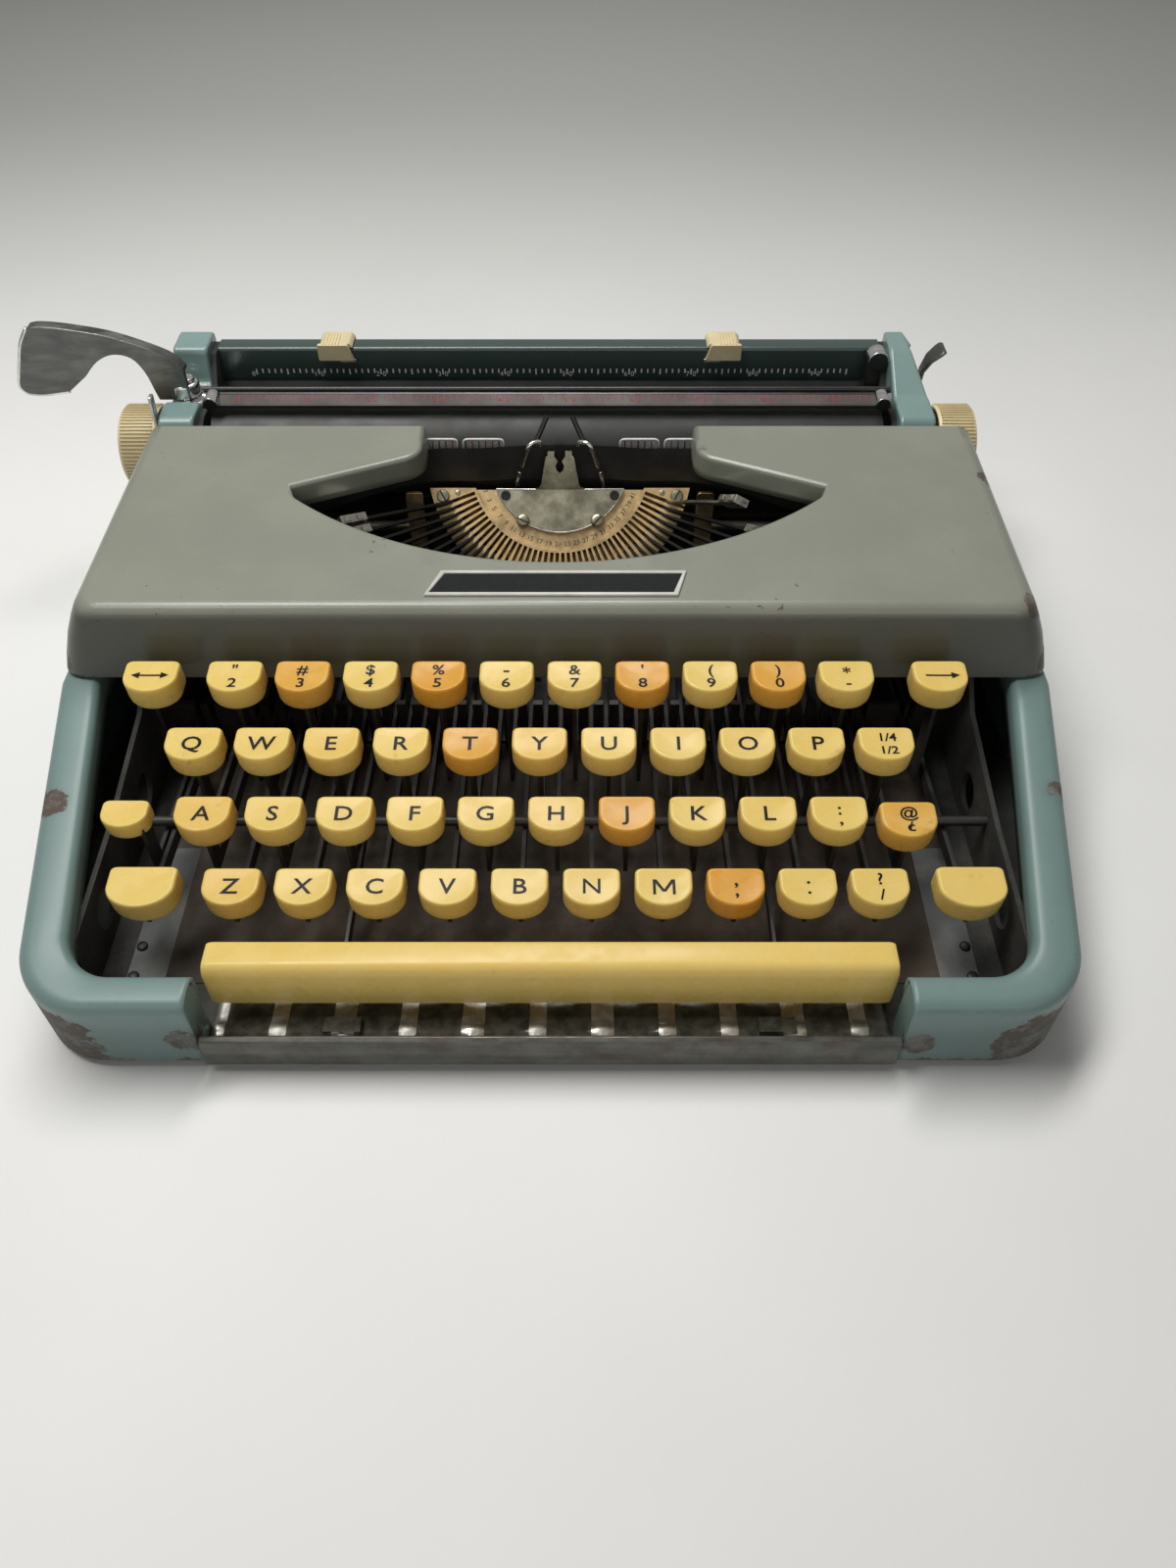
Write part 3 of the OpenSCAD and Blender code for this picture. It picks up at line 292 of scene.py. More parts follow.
M = {
    # painted shade low down: on the shell's lower walls and on the cover's apron
    "shell": paint("teal_paint", TEAL, SHELL_SPOTS, rough=0.42, coat=0.06, painted_low_shade=(14, 26, 0.35, 150)),
    "cover": paint("grey_green_paint", GREY_GREEN, COVER_SPOTS, specks=0.665, rough=0.36,
                   painted_low_shade=(62.5, 66.2, 0.88, -14)),
    # painted light: the end covers take the shell's teal made 1.2 times lighter, to offset the shade that falls on
    # them
    "ends": paint("end_paint_lightened_for_shade", shade(TEAL, 1.2), specks=0.71),
    "rail": paint("rail_paint", (0.035, 0.062, 0.055), specks=0.73),
    "key": key_plastic(),
    "cream": dull("cream_moulding", (0.70, 0.60, 0.36), 0.38, 70, 0.08, 0.08),
    "ink": ink("key_ink", (0.012, 0.011, 0.010), 0.35),
    "steel": metal("steel", (0.50, 0.49, 0.46), 0.34, (1, 0.1, 1), 0.35),
    "chrome": metal("chrome", (0.72, 0.71, 0.69), 0.16, (0.1, 1, 1), 0.12, (0.25, 0.22, 0.17)),
    "lever": metal("lever_plate", (0.15, 0.155, 0.148), 0.34, (0.2, 1, 1), 0.2, (0.08, 0.076, 0.068)),
    "bail": dull("bail_plate", (0.056, 0.046, 0.038), 0.58, 90, 0.12, 0.08),
    # painted shade: the typebars are dull steel coloured near black, which also stands in for the shade they lie in
    # under the cover
    "bar": ink("typebar_steel_painted_shade", (0.016, 0.015, 0.013), 0.6),
    "slug": metal("type_slug", (0.44, 0.42, 0.37), 0.30, EVEN, 0.4, (0.09, 0.075, 0.055)),
    "tray": dull("tray_enamel", (0.10, 0.10, 0.08), 0.24, 240, 0.45, 0.1, 0.12),
    # painted highlight: bright bands of worn metal across the tray, standing in for its glints
    "worn": metal("worn_tray_glint_bands", (0.62, 0.61, 0.57), 0.38, EVEN, 0.5, (0.05, 0.045, 0.035)),
    "grey": dull("grey_strip", (0.15, 0.155, 0.15), 0.5, 60, 0.3, 0.15),
    "dark_steel": dull("dark_steel", (0.022, 0.020, 0.018), 0.48, 60, 0.4, 0.2, 0.12),
    "chassis": dull("chassis_paint", (0.028, 0.028, 0.025), 0.8, 40, 0.4, 0.2, 0.15),
    "brown": dull("board", (0.060, 0.045, 0.033), 0.8, 35, 0.35, 0.35, 0.22),
    "brass": metal("brass", (0.60, 0.44, 0.235), 0.44, EVEN, 0.34, (0.17, 0.105, 0.045)),
    "guide": metal("guide_plate", (0.36, 0.34, 0.25), 0.36, EVEN, 0.45, (0.16, 0.14, 0.09)),
    "strip": metal("worn_strip", (0.13, 0.13, 0.118), 0.45, (0.05, 1, 1), 0.75),
    "rubber": dull("black_rubber", (0.030, 0.030, 0.031), 0.42, 55, 0.2, 0.12, 0.10),
    "platen": dull("platen_rubber", (0.036, 0.036, 0.033), 0.52, 45, 0.18, 0.08, 0.06),
    "black": dull("black_enamel", (0.012, 0.012, 0.012), 0.32, 70, 0.3, 0.1, 0.06),
    "ribbon": cloth_black(),
    "clear": clear_plastic(),
    "white": ink("white_ink", (0.96, 0.95, 0.88)),
    "red": ink("red_ink", (0.33, 0.055, 0.06)),
    "field": ink("plate_field", (0.010, 0.011, 0.012), 0.45),
    "silver": dull("silver_border", (0.62, 0.61, 0.57), 0.28, 80, 0.10, 0.05),
}


# Outlines, paths and places, all in millimetres from here on

def rect(x0, y0, x1, y1):
    return [(x0, y0), (x1, y0), (x1, y1), (x0, y1)]


def mirrored(points):
    return [(-x, y) for x, y in reversed(points)]


def whole(half):
    """One half of an outline and its mirror image, joined at the last point."""
    return half + mirrored(half[:-1])


def between(a, b, share):
    return tuple(p + (q - p) * share for p, q in zip(a, b))


def quarter(k, steps):
    """How far a quarter circle has come along and across after k steps, each from 0 to 1."""
    t = math.radians(90 * k / steps)
    return math.sin(t), 1 - math.cos(t)


def circle(sides):
    turns = [2 * math.pi * k / sides for k in range(sides)]
    return [(math.cos(t), math.sin(t)) for t in turns]


def arc(cx, cy, r, start, end, steps):
    turns = [math.radians(start + (end - start) * i / steps) for i in range(steps + 1)]
    return [(cx + r * math.cos(t), cy + r * math.sin(t)) for t in turns]


def rounded(points, radius, steps=5, closed=True):
    """Outline with its corners rounded by short curves."""
    out = []
    n = len(points)
    for i, point in enumerate(points):
        if not closed and i in (0, n - 1):
            out.append(tuple(point))
            continue
        p, a, b = Vector(point), Vector(points[i - 1]), Vector(points[(i + 1) % n])
        r = min(radius, (a - p).length * 0.45, (b - p).length * 0.45)
        start, end = p + (a - p).normalized() * r, p + (b - p).normalized() * r
        for k in range(steps + 1):
            t = k / steps
            out.append(tuple(start * (1 - t) ** 2 + p * 2 * t * (1 - t) + end * t * t))
    return out


def smooth_path(points, steps):
    """Curve through points."""
    p = [Vector(q) for q in [points[0], *points, points[-1]]]
    out = []
    for a, b, c, d in zip(p, p[1:], p[2:], p[3:]):
        for k in range(steps):
            t = k / steps
            out.append(0.5 * (2 * b + (c - a) * t + (2 * a - 5 * b + 4 * c - d) * t * t
                              + (3 * b - a - 3 * c + d) * t ** 3))
    return [tuple(q) for q in out] + [tuple(p[-1])]


def on_axis(axis, w, u, v):
    """Point at w along an axis, and u and v across it."""
    return {"x": (w, u, v), "y": (u, w, v), "z": (u, v, w)}[axis]


def posed(point, degrees, axis):
    return Matrix.Translation(point) @ Matrix.Rotation(math.radians(degrees), 4, axis)


def spin(axis, degrees, about):
    return posed(about, degrees, axis) @ Matrix.Translation(-Vector(about))


def in_metres(matrix):
    made = matrix.copy()
    made.translation = matrix.translation * MM
    return made


# Mesh building

def face_outward(mesh, gap=0.0):
    """Joins points that lie within a gap, if one is given, and turns all faces outward."""
    work = bmesh.new()
    work.from_mesh(mesh)
    if gap:
        bmesh.ops.remove_doubles(work, verts=work.verts, dist=gap * MM)
    bmesh.ops.recalc_face_normals(work, faces=work.faces)
    work.to_mesh(mesh)
    work.free()


class Build:
    """Gathers mesh parts, each with a material number and a tone or wear value."""

    def __init__(self):
        self.verts, self.faces, self.mats, self.tones = [], [], [], []

    def add(self, verts, faces, mat=0, tone=0.0, turn=None):
        base = len(self.verts)
        for i, point in enumerate(verts):
            point = Vector(point)
            self.verts.append((turn @ point if turn else point)[:])
            self.tones.append(tone[i] if isinstance(tone, list) else tone)
        for face in faces:
            self.faces.append([base + i for i in face])
            self.mats.append(mat)

    def loft(self, rings, mat=0, closed=True, tone=0.0, turn=None):
        """Skin over rings of points: closed rings get end caps, open ones make a sheet."""
        n = len(rings[0])
        faces = []
        for a in range(len(rings) - 1):
            for i in range(n if closed else n - 1):
                j = (i + 1) % n
                faces.append((a * n + i, a * n + j, (a + 1) * n + j, (a + 1) * n + i))
        if closed:
            faces.append(tuple(reversed(range(n))))
            faces.append(tuple((len(rings) - 1) * n + i for i in range(n)))
        self.add([p for ring in rings for p in ring], faces, mat, tone, turn)

    def prism(self, outline, low, high, axis="x", mat=0, turn=None, tone=0.0):
        self.loft([[on_axis(axis, w, u, v) for u, v in outline] for w in (low, high)], mat, turn=turn, tone=tone)

    def box(self, low, high, mat=0, turn=None):
        (x0, y0, z0), (x1, y1, z1) = low, high
        self.prism(rect(x0, y0, x1, y1), z0, z1, "z", mat, turn)

    def tube(self, path, radius, mat=0, sides=10, turn=None):
        path = [Vector(p) for p in path]
        rings, side = [], None
        for i, point in enumerate(path):
            ahead = (path[min(i + 1, len(path) - 1)] - path[max(i - 1, 0)]).normalized()
            if side is None:
                side = ahead.orthogonal().normalized()
            side = (side - ahead * side.dot(ahead)).normalized()
            up = ahead.cross(side)
            rings.append([tuple(point + radius * (c * side + s * up)) for c, s in circle(sides)])
        self.loft(rings, mat, turn=turn)

    def lathe(self, profile, centre, axis="x", sides=48, mat=0, turn=None):
        """Turned part: profile of (along, radius) round an axis through a centre."""
        rings = []
        for along, r in profile:
            ring = [on_axis(axis, along, r * c, r * s) for c, s in circle(sides)]
            rings.append([tuple(a + b for a, b in zip(centre, point)) for point in ring])
        self.loft(rings, mat, turn=turn)

    def mesh(self, name, looks):
        mesh = bpy.data.meshes.new(name)
        mesh.from_pydata([[c * MM for c in v] for v in self.verts], [], self.faces)
        for look in looks:
            mesh.materials.append(look)
        mesh.polygons.foreach_set("material_index", self.mats)
        mesh.polygons.foreach_set("use_smooth", [True] * len(mesh.polygons))
        return mesh

    def piece(self, name, looks, body, node=None, bevel=0.0, angle=38, thick=0.0, data="tone", segments=2, ring=None):
        """Makes the piece, which rides on a body, may replace a node of the frame and may be repeated in a ring."""
        mesh = self.mesh(name, [M[look] for look in looks])
        mesh.attributes.new(data, "FLOAT", "POINT").data.foreach_set("value", self.tones)
        face_outward(mesh)
        mesh.set_sharp_from_angle(angle=math.radians(angle))
        made = add_object(name, repeated(mesh, *ring) if ring else mesh)
        if thick:
            wall = made.modifiers.new("wall", "SOLIDIFY")
            wall.thickness, wall.offset, wall.use_even_offset = thick * MM, -1, True
        if bevel:
            soft = made.modifiers.new("soft_edges", "BEVEL")
            soft.width, soft.segments = bevel * MM, segments
            soft.limit_method, soft.angle_limit = "ANGLE", math.radians(40)
        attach(made, body)
        if node:
            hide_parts(node)
        return made


word_store = {}


def letter_m(size):
    """Letter M from four strokes."""
    a, b, s = 0.41 * size, 0.35 * size, 0.105 * size
    half = [(-a, -b, 0), (s - a, -b, 0), (s - a, b, 0), (-a, b, 0),
            (-a, b, 0), (-0.6 * s, -0.6 * b, 0), (0.6 * s, -0.6 * b, 0), (1.3 * s - a, b, 0)]
    faces = [[0, 1, 2, 3], [4, 5, 6, 7]]
    return half + [(-x, y, z) for x, y, z in half], faces + [[8 + i for i in reversed(f)] for f in faces]


def words(text, size, bold=0.0):
    """Flat mesh of a short generic word or number, centred on the origin."""
    if text == "M":
        return letter_m(size)
    bold = 0.02 if text == "N" else bold
    key = (text, size, bold)
    if key not in word_store:
        curve = bpy.data.curves.new("words", "FONT")
        curve.body, curve.size, curve.offset = text, size, bold
        curve.align_x, curve.align_y = "CENTER", "CENTER"
        curve.resolution_u = 3
        holder = add_object("words", curve)
        shown = holder.evaluated_get(bpy.context.evaluated_depsgraph_get())
        mesh = shown.to_mesh()
        word_store[key] = ([v.co[:] for v in mesh.vertices], [list(f.vertices) for f in mesh.polygons])
        shown.to_mesh_clear()
        bpy.data.objects.remove(holder)
        bpy.data.curves.remove(curve)
    return word_store[key]


def ring_group():
    """Node group that repeats its input round the origin and joins the copies."""
    group = bpy.data.node_groups.new("repeat_round", "GeometryNodeTree")
    for name, way, kind in (("Geometry", "INPUT", "Geometry"), ("Count", "INPUT", "Int"),
                            ("Step", "INPUT", "Vector"), ("Geometry", "OUTPUT", "Geometry")):
        group.interface.new_socket(name, in_out=way, socket_type="NodeSocket" + kind)
    new, link = group.nodes.new, group.links.new
    start, end = new("NodeGroupInput"), new("NodeGroupOutput")
    points = new("GeometryNodeMeshLine")
    points.mode = "OFFSET"
    points.inputs["Offset"].default_value = (0, 0, 0)
    link(start.outputs["Count"], points.inputs["Count"])
    turn = new("ShaderNodeVectorMath")
    turn.operation = "SCALE"
    link(start.outputs["Step"], turn.inputs[0])
    link(new("GeometryNodeInputIndex").outputs[0], turn.inputs["Scale"])
    put = new("GeometryNodeInstanceOnPoints")
    link(points.outputs[0], put.inputs["Points"])
    link(start.outputs["Geometry"], put.inputs["Instance"])
    link(turn.outputs[0], put.inputs["Rotation"])
    join = new("GeometryNodeRealizeInstances")
    link(put.outputs[0], join.inputs[0])
    link(join.outputs[0], end.inputs[0])
    return group


RING = ring_group()


def repeated(mesh, count, degrees, place):
    """Repeats a mesh round the Z axis and gives the ring as a plain mesh, moved to its place."""
    holder = add_object("repeat", mesh)
    copies = holder.modifiers.new("repeat", "NODES")
    copies.node_group = RING
    names = {s.name: s.identifier for s in RING.interface.items_tree if s.in_out == "INPUT"}
    copies[names["Count"]] = count
    copies[names["Step"]] = (0, 0, math.radians(degrees))
    shown = holder.evaluated_get(bpy.context.evaluated_depsgraph_get())
    plain = bpy.data.meshes.new_from_object(shown)
    plain.transform(in_metres(place))
    bpy.data.objects.remove(holder)
    bpy.data.meshes.remove(mesh)
    return plain


# Housing

HALF_FRONT, HALF_REAR, FRONT_Y, REAR_Y = 138.0, 148.5, -131.0, 135.0
INNER_X, INNER_REAR, RIM_DROP_Y = 136.5, 123.0, 76.0
APRON_Y, COVER_REAR, COVER_Z, TOP_Z = -27.0, 75.4, 45.0, 67.0
COVER_HALF, COVER_CORNER, TOP_CURVE, LIP_CURVE = 147.5, 7.0, 3.0, 1.5
FLARE = math.degrees(math.atan((HALF_REAR - HALF_FRONT) / 84.0))
STRIP_HALF = 91.2               # front strip and tray, from the middle
NOTCH_X = 92.2
SPACE_ARMS = (-56.3, 60.7)


def rim_height(y):
    if y < APRON_Y:
        return 29.0 + (y - FRONT_Y) * 15.0 / 104.0
    return 44.0 if y < RIM_DROP_Y else 24.0


def shell_stations():
    """Pairs of outer and inner points along the right half, from the notch to the rear middle."""
    pairs = [((x, FRONT_Y), (x, -120.5)) for x in (91.7, 93.2, 98, 106)]
    pairs += zip(arc(118, -111, 20, -90, -FLARE, 14), arc(113, -107.5, 13, -90, -FLARE, 14))
    last_out, last_in = pairs[-1]
    for i in range(1, 13):
        share = i / 12
        pairs.append((between(last_out, (HALF_REAR, APRON_Y), share), between(last_in, (INNER_X, APRON_Y), share)))
    pairs += [((HALF_REAR, y), (INNER_X, y)) for y in (0, 30, 60, RIM_DROP_Y - 0.1, RIM_DROP_Y, 100, 122)]
    pairs += [(p, (INNER_X, INNER_REAR)) for p in arc(INNER_X, INNER_REAR, 12, 8, 82, 6)]
    pairs += [((x, REAR_Y), (x, INNER_REAR)) for x in (130, 90, 45, 0)]
    return pairs


def shell_profile(height):
    """Points across the wall as (share of the rim's width, height, wear)."""
    rows = [(0.10, 2.0, 0.62), (0.0, 3.2, 0.56), (0.0, 9.0, 0.2), (0.0, height * 0.6, 0.1)]
    for k in range(6):
        up, across = quarter(k, 5)
        rows.append((0.30 * across, height - 3.6 + 3.6 * up, 0.47 if k <= 2 else 0.3))
    rows += [(0.5, height + 0.25, 0.0), (0.72, height, 0.0)]
    for k in range(1, 6):
        across, down = quarter(k, 5)
        rows.append((0.76 + 0.24 * across, height - 2.9 * down, 0.3 if k < 4 else 0.1))
    return rows + [(1.0, height - 5.0, 0.0), (1.0, height - 8.5, 0.0)]


def make_shell():
    build = Build()
    outer, inner = (whole(list(points)) for points in zip(*shell_stations()))
    rings, wear = [], []
    for a, b in zip(outer, inner):
        rows = shell_profile(rim_height(a[1]))
        rings.append([(*between(a, b, share), z) for share, z, _ in rows])
        wear += [w for _, _, w in rows]
    build.loft(rings, closed=False, tone=wear)
    build.piece("housing_shell", ["shell"], "frame", "lower_shell", thick=1.0, data="wear", angle=32)
    walls = Build()
    end = [(-129.9, 4.5), (-129.9, 24.5), (-128.6, 27.0), (-126.5, 27.7), (-123.6, 27.6), (-121.9, 26.2),
           (-121.6, 20.6), (-121.6, 4.5)]
    for side in SIDES:
        walls.prism(end, side * NOTCH_X - 0.4, side * NOTCH_X + 0.4, "x", 0, tone=0.4)
    walls.piece("notch_walls", ["shell"], "frame", bevel=0.15, data="wear")


def cover_ring(z, inset=0.0):
    """Cover's outer outline at a height, from the rear right round the front to the rear left."""
    rise = (z - COVER_Z) / (TOP_Z - COVER_Z)
    w = COVER_HALF - 8.0 * rise - inset + 1.1 * math.sin(math.pi * min(1, rise))
    front = APRON_Y + 5.8 * rise + inset
    corner = COVER_CORNER - inset
    right = [(w, COVER_REAR - 10 * i) for i in range(4)] + [(w, 20), (w, 0)]
    right += reversed(arc(w - corner, front + corner, corner, -90, 0, 8))
    return [(x, y, z) for x, y in right + mirrored(right)]


def basket_edge():
    """Edge of the basket opening from the left rear to the right rear."""
    corner = (-87.2, 41.0)
    horn = rounded([(-47.5, COVER_REAR), (-47.5, 61), (-50, 57.5), corner], 2.2, 4, closed=False)[:-1]
    tips = math.degrees(math.asin(89 / 124))
    front = arc(0, 123.3, 124, -90 - tips, -90 + tips, 48)
    lens = rounded([corner] + front[1:-1] + mirrored([corner]), 2.0, 2, closed=False)
    return horn + lens + mirrored(horn)


def lip_row(edge, k):
    """Row k of the lip that turns down round the opening, deeper along the two horns."""
    row = []
    for i, (x, y) in enumerate(edge):
        along = (Vector(edge[min(i + 1, len(edge) - 1)]) - Vector(edge[max(i - 1, 0)])).normalized()
        horn = min(1.0, max(0.0, (abs(x) - 44) / 3)) if y > 40.6 else 0.0
        if k < 5:
            move, drop = (LIP_CURVE * share for share in quarter(k, 4))
        else:
            move = LIP_CURVE + (0.9 if horn else 0.0) * (k - 4) / 3
            drop = LIP_CURVE + (3.2 + 4.6 * horn - LIP_CURVE) * (k - 4) / 3
        row.append((x - along.y * move, y + along.x * move, TOP_Z - drop))
    return row


def make_cover():
    build = Build()
    rings, wear = [], []
    for z in (COVER_Z, COVER_Z + 0.9, 50, 56, 61):
        rings.append(cover_ring(z))
        wear += [0.5 if z < 46 else 0.1] * len(rings[-1])
    for k in range(7):
        up, across = quarter(k, 6)
        rings.append(cover_ring(TOP_Z - TOP_CURVE + TOP_CURVE * up, TOP_CURVE * across))
        wear += [0.40 if 1 < k < 5 else 0.2] * len(rings[-1])
    build.loft(rings, closed=False, tone=wear)
    edge = basket_edge()
    loop = rings[-1][::-1] + [(x, y, TOP_Z) for x, y in reversed(edge)]
    build.add(loop, [list(range(len(loop)))], tone=0.2)
    wear = [0.44 if k in (1, 2, 3) else 0.2 for k in range(8) for _ in edge]
    build.loft([lip_row(edge, k) for k in range(8)], closed=False, tone=wear)
    for side in SIDES:
        lug = [(60.4, 65.8), (68.4, 58.5), (75.0, 58.5), (75.2, 65.8)]
        build.prism(lug, *sorted((side * 128.2, side * 129.7)))
    made = build.piece("basket_cover", ["cover"], "cover", "ribbon_cover", data="wear", angle=32)
    face_outward(made.data, 0.02)
    for face in made.data.polygons:
        if face.area > 100 * MM * MM:
            face.use_smooth = False
    wall = made.modifiers.new("wall", "SOLIDIFY")
    wall.thickness, wall.offset = 1.0 * MM, -1


def make_name_plate():
    outer, middle = [(-38, -16.5), (36, -16.5), (39, -5), (-34, -5)], (0.75, -10.75)

    def level(z, inset):
        return [(*(c - math.copysign(inset, c - m) for c, m in zip(point, middle)), z) for point in outer]

    build = Build()
    border = ((67.05, 0.0), (67.65, 0.0), (67.85, 0.25), (67.85, 1.1), (67.55, 1.35))
    build.loft([level(z, inset) for z, inset in border], 0)
    build.loft([level(z, 1.3) for z in (67.3, 67.62)], 1)
    build.piece("name_plate_bare", ["silver", "field"], "cover", "name_plate", bevel=0.08)


def make_tray():
    """Dimpled tray under the space bar, with bright metal bands at its swellings as painted glints laid out as wear,
    and two clips.
    """
    columns, rows, pitch, bright = 120, 18, 17.4, 0.6
    front, depth, floor = -128.2, 21.6, 4.46

    def wave(x):
        return math.cos(2 * math.pi * (x + 4) / pitch)

    tray = Build()
    grid, faces = [], []
    for i in range(columns + 1):
        x = -STRIP_HALF + 2 * STRIP_HALF * i / columns
        for j in range(rows + 1):
            y = front + depth * j / rows
            swell = 1.5 * max(0.0, wave(x)) * max(0.0, 1 - abs(y + 122.6) / 2.6)
            grid.append((x, y, floor + 5.6 * max(0.0, 1 - abs(y - front) / 3.0) + swell))
            if i < columns and j < rows:
                a = i * (rows + 1) + j
                faces.append((a, a + rows + 1, a + rows + 2, a + 1))
    tray.add(grid, faces)
    # painted highlight: faces where the wave is high take the bright metal, in bands standing in for glints
    for n in range(len(faces)):
        middle = -STRIP_HALF + 2 * STRIP_HALF * (n // rows + 0.5) / columns
        tray.mats[n] = 1 if wave(middle) > bright else 0
    for x in SPACE_ARMS:
        tray.box((x - 5, -124.4, 4.5), (x + 5, -119.9, 6.6))
    tray.piece("dimpled_tray", ["tray", "worn"], "frame", thick=0.2, angle=60)


def make_base():
    """Bottom plate, its front strip, the tray, and the board under the keys."""
    build = Build()
    inside = 0.987
    half = [(x * inside, max(y * inside, -128.4)) for (x, y), _ in shell_stations()]
    build.prism(whole(half), 3.4, 4.4, "z", 0)
    build.lathe([(3.4, 3.0), (14.0, 3.0), (14.4, 2.6)], (92, 102.9, 0), "z", 24, 1)
    build.lathe([(3.4, 1.5), (13.2, 1.5), (13.4, 1.2)], (30, 102.9, 0), "z", 16, 1)
    build.piece("bottom_plate_sheet", ["chassis", "steel"], "frame", "bottom_plate", bevel=0.15)
    strip = Build()
    face = [(-132.5, 3.4), (-132.3, 12.2), (-131.8, 13.8), (-130.4, 14.4), (-129.9, 14.0), (-130.9, 13.2),
            (-131.3, 11.8), (-131.3, 4.4), (-125, 4.4), (-125, 3.4)]
    strip.prism(face, -STRIP_HALF, STRIP_HALF, "x", 0, tone=0.5)
    strip.piece("front_strip", ["strip"], "frame", bevel=0.25, data="wear")
    make_tray()
    board = Build()
    board.box((-118, -108, 4.45), (118, -16, 4.75), 0)
    for side in SIDES:
        low, high = sorted((side * 108, side * 119))
        board.box((low, -112, 4.46), (high, -60, 4.82), 1)
        for y in (-106, -96, -72):
            board.lathe([(4.8, 1.6), (5.5, 1.5), (5.8, 0.9)], (side * 117.0, y, 0), "z", 16, 2)
    board.piece("key_board_plate", ["brown", "grey", "dark_steel"], "frame", bevel=0.2)


# Keys

PITCH, ROW_Y, ROW_DEPTH, ROW_Z, ROW_RISE, LEAN = 19.5, -94.6, 18.8, 31.1, 8.2, 5.0
MIDDLE_X, PIVOT_Y, PIVOT_Z, LEVER_SLOPE = 1, 50.0, 9.0, 0.0793
KEY_W, KEY_D, KEY_H, DISH = 15.6, 12.4, 8.0, 0.28
MARK_LIFT = 0.06                # legend above the keytop
SHIFT_X = (-111.0, 113.6)
KEY_LOOKS = ["key", "dark_steel", "ink"]
HOME = "ASDFGHJKL"
NUMBER_TOP, NUMBER_LOW = "\"#$%_&'()*", "234567890-"
ORANGE = {"3": 0.75, "5": 0.95, "8": 0.95, "0": 0.8, "T": 0.85, "J": 0.9, ",": 1.0, "@": 0.65, "Y": 0.25,
          "A": 0.25, "Z": 0.2, "H": 0.15, "E": 0.12, "back": 0.1}


def key_y(row):
    return ROW_Y + ROW_DEPTH * row


def key_z(row):
    return ROW_Z + ROW_RISE * row


def key_x(place):
    return MIDDLE_X + PITCH * place


def lever_z(y):
    return PIVOT_Z + (PIVOT_Y - y) * LEVER_SLOPE


def key_outline(w, d):
    """D-shaped keytop seen from above: flat at the rear, round at the front."""
    side = w / 2
    rear = rounded([(side, 1.0), (side, side), (-side, side), (-side, 1.0)], 2.2, 6, closed=False)
    return [(x, y * d / w) for x, y in arc(0, 0.6, side, 180, 360, 26) + rear[1:-1]]


def gauge(outline, x, y):
    """How far out a point lies in a convex outline: 0 in the middle and 1 on the edge."""
    most = 0.0
    for (ax, ay), (bx, by) in zip(outline, outline[1:] + outline[:1]):
        nx, ny = by - ay, ax - bx
        reach = nx * ax + ny * ay
        if reach > 1e-9:
            most = max(most, (nx * x + ny * y) / reach)
    return most


def dish(s):
    return -DISH * (1 - min(1.0, s / 0.9) ** 2)


def printed(outline, points):
    """Points of a legend laid on a dished keytop."""
    return [(u, v, dish(gauge(outline, u, v)) + MARK_LIFT) for u, v in points]


def keytop(build, place, size, tone, marks=(), turn=None):
    """Dished keytop with its legend: marks are (text, size, dx, dy)."""
    w, d, h = size
    outline = key_outline(w, d)
    pose = posed(place, LEAN, "X")
    if turn:
        pose = turn @ pose
    steps = [(0.90, -h), (0.95, -h + 0.15), (0.985, -h + 0.7), (1.0, -h + 1.8), (1.0, -1.5), (0.995, -0.8),
             (0.975, -0.3), (0.945, -0.06), (0.92, 0.0)]
    steps += [(s, dish(s)) for s in (0.88, 0.78, 0.64, 0.48, 0.3, 0.12)]
    build.loft([[(u * s, v * s, t) for u, v in outline] for s, t in steps], 0, tone=tone, turn=pose)
    for text, height, dx, dy in marks:
        verts, faces = words(text, height, 0.085)
        build.add(printed(outline, [(u + dx, v * 0.92 + dy) for u, v, _ in verts]), faces, 2, turn=pose)


def arrow(build, place, tips):
    """Arrow printed on a keytop, with a tip on each side named."""
    parts = [rect(1.1 * i, 0.3, 1.1 * (i + 1), 0.9) for i in range(-4, 4)]
    for side in tips:
        parts.append([(side * 5.4, 0.6), (side * 3.0, 1.8), (side * 3.0, -0.6)][::side])
    for part in parts:
        spot = printed(key_outline(KEY_W, KEY_D), part)
        build.add(spot, [list(range(len(part)))], 2, turn=posed(place, LEAN, "X"))


def key_lever(build, x, row, turn=None):
    y, half, deep = key_y(row), 0.6, 2.25
    z, top = lever_z(y), key_z(row) - 5.0
    arm = [(y - 2.5, lever_z(y - 2.5) - deep), (PIVOT_Y, PIVOT_Z - deep), (PIVOT_Y + 3.4, PIVOT_Z - 1.5),
           (PIVOT_Y + 3.4, PIVOT_Z + 1.5), (PIVOT_Y, PIVOT_Z + deep), (y + 3.0, lever_z(y + 3.0) + deep),
           (y + 2.5, z + 3.4), (y + 2.5, top), (y - 2.5, top), (y - 2.5, z)]
    build.prism(arm, x - half, x + half, "x", 1, turn)


def whole_key(build, x, row, name="", marks=(), size=(KEY_W, KEY_D, KEY_H), turn=None):
    keytop(build, (x, key_y(row), key_z(row)), size, ORANGE.get(name, 0.0), marks, turn)
    key_lever(build, x, row, turn)


def key_row(piece, body, node, row, left, keys):
    """Row of keys on one body, given as (name, marks), starting so many places left of the middle."""
    build = Build()
    for i, (name, marks) in enumerate(keys):
        whole_key(build, key_x(i - left), row, name, marks)
    build.piece(piece, KEY_LOOKS, body, node)


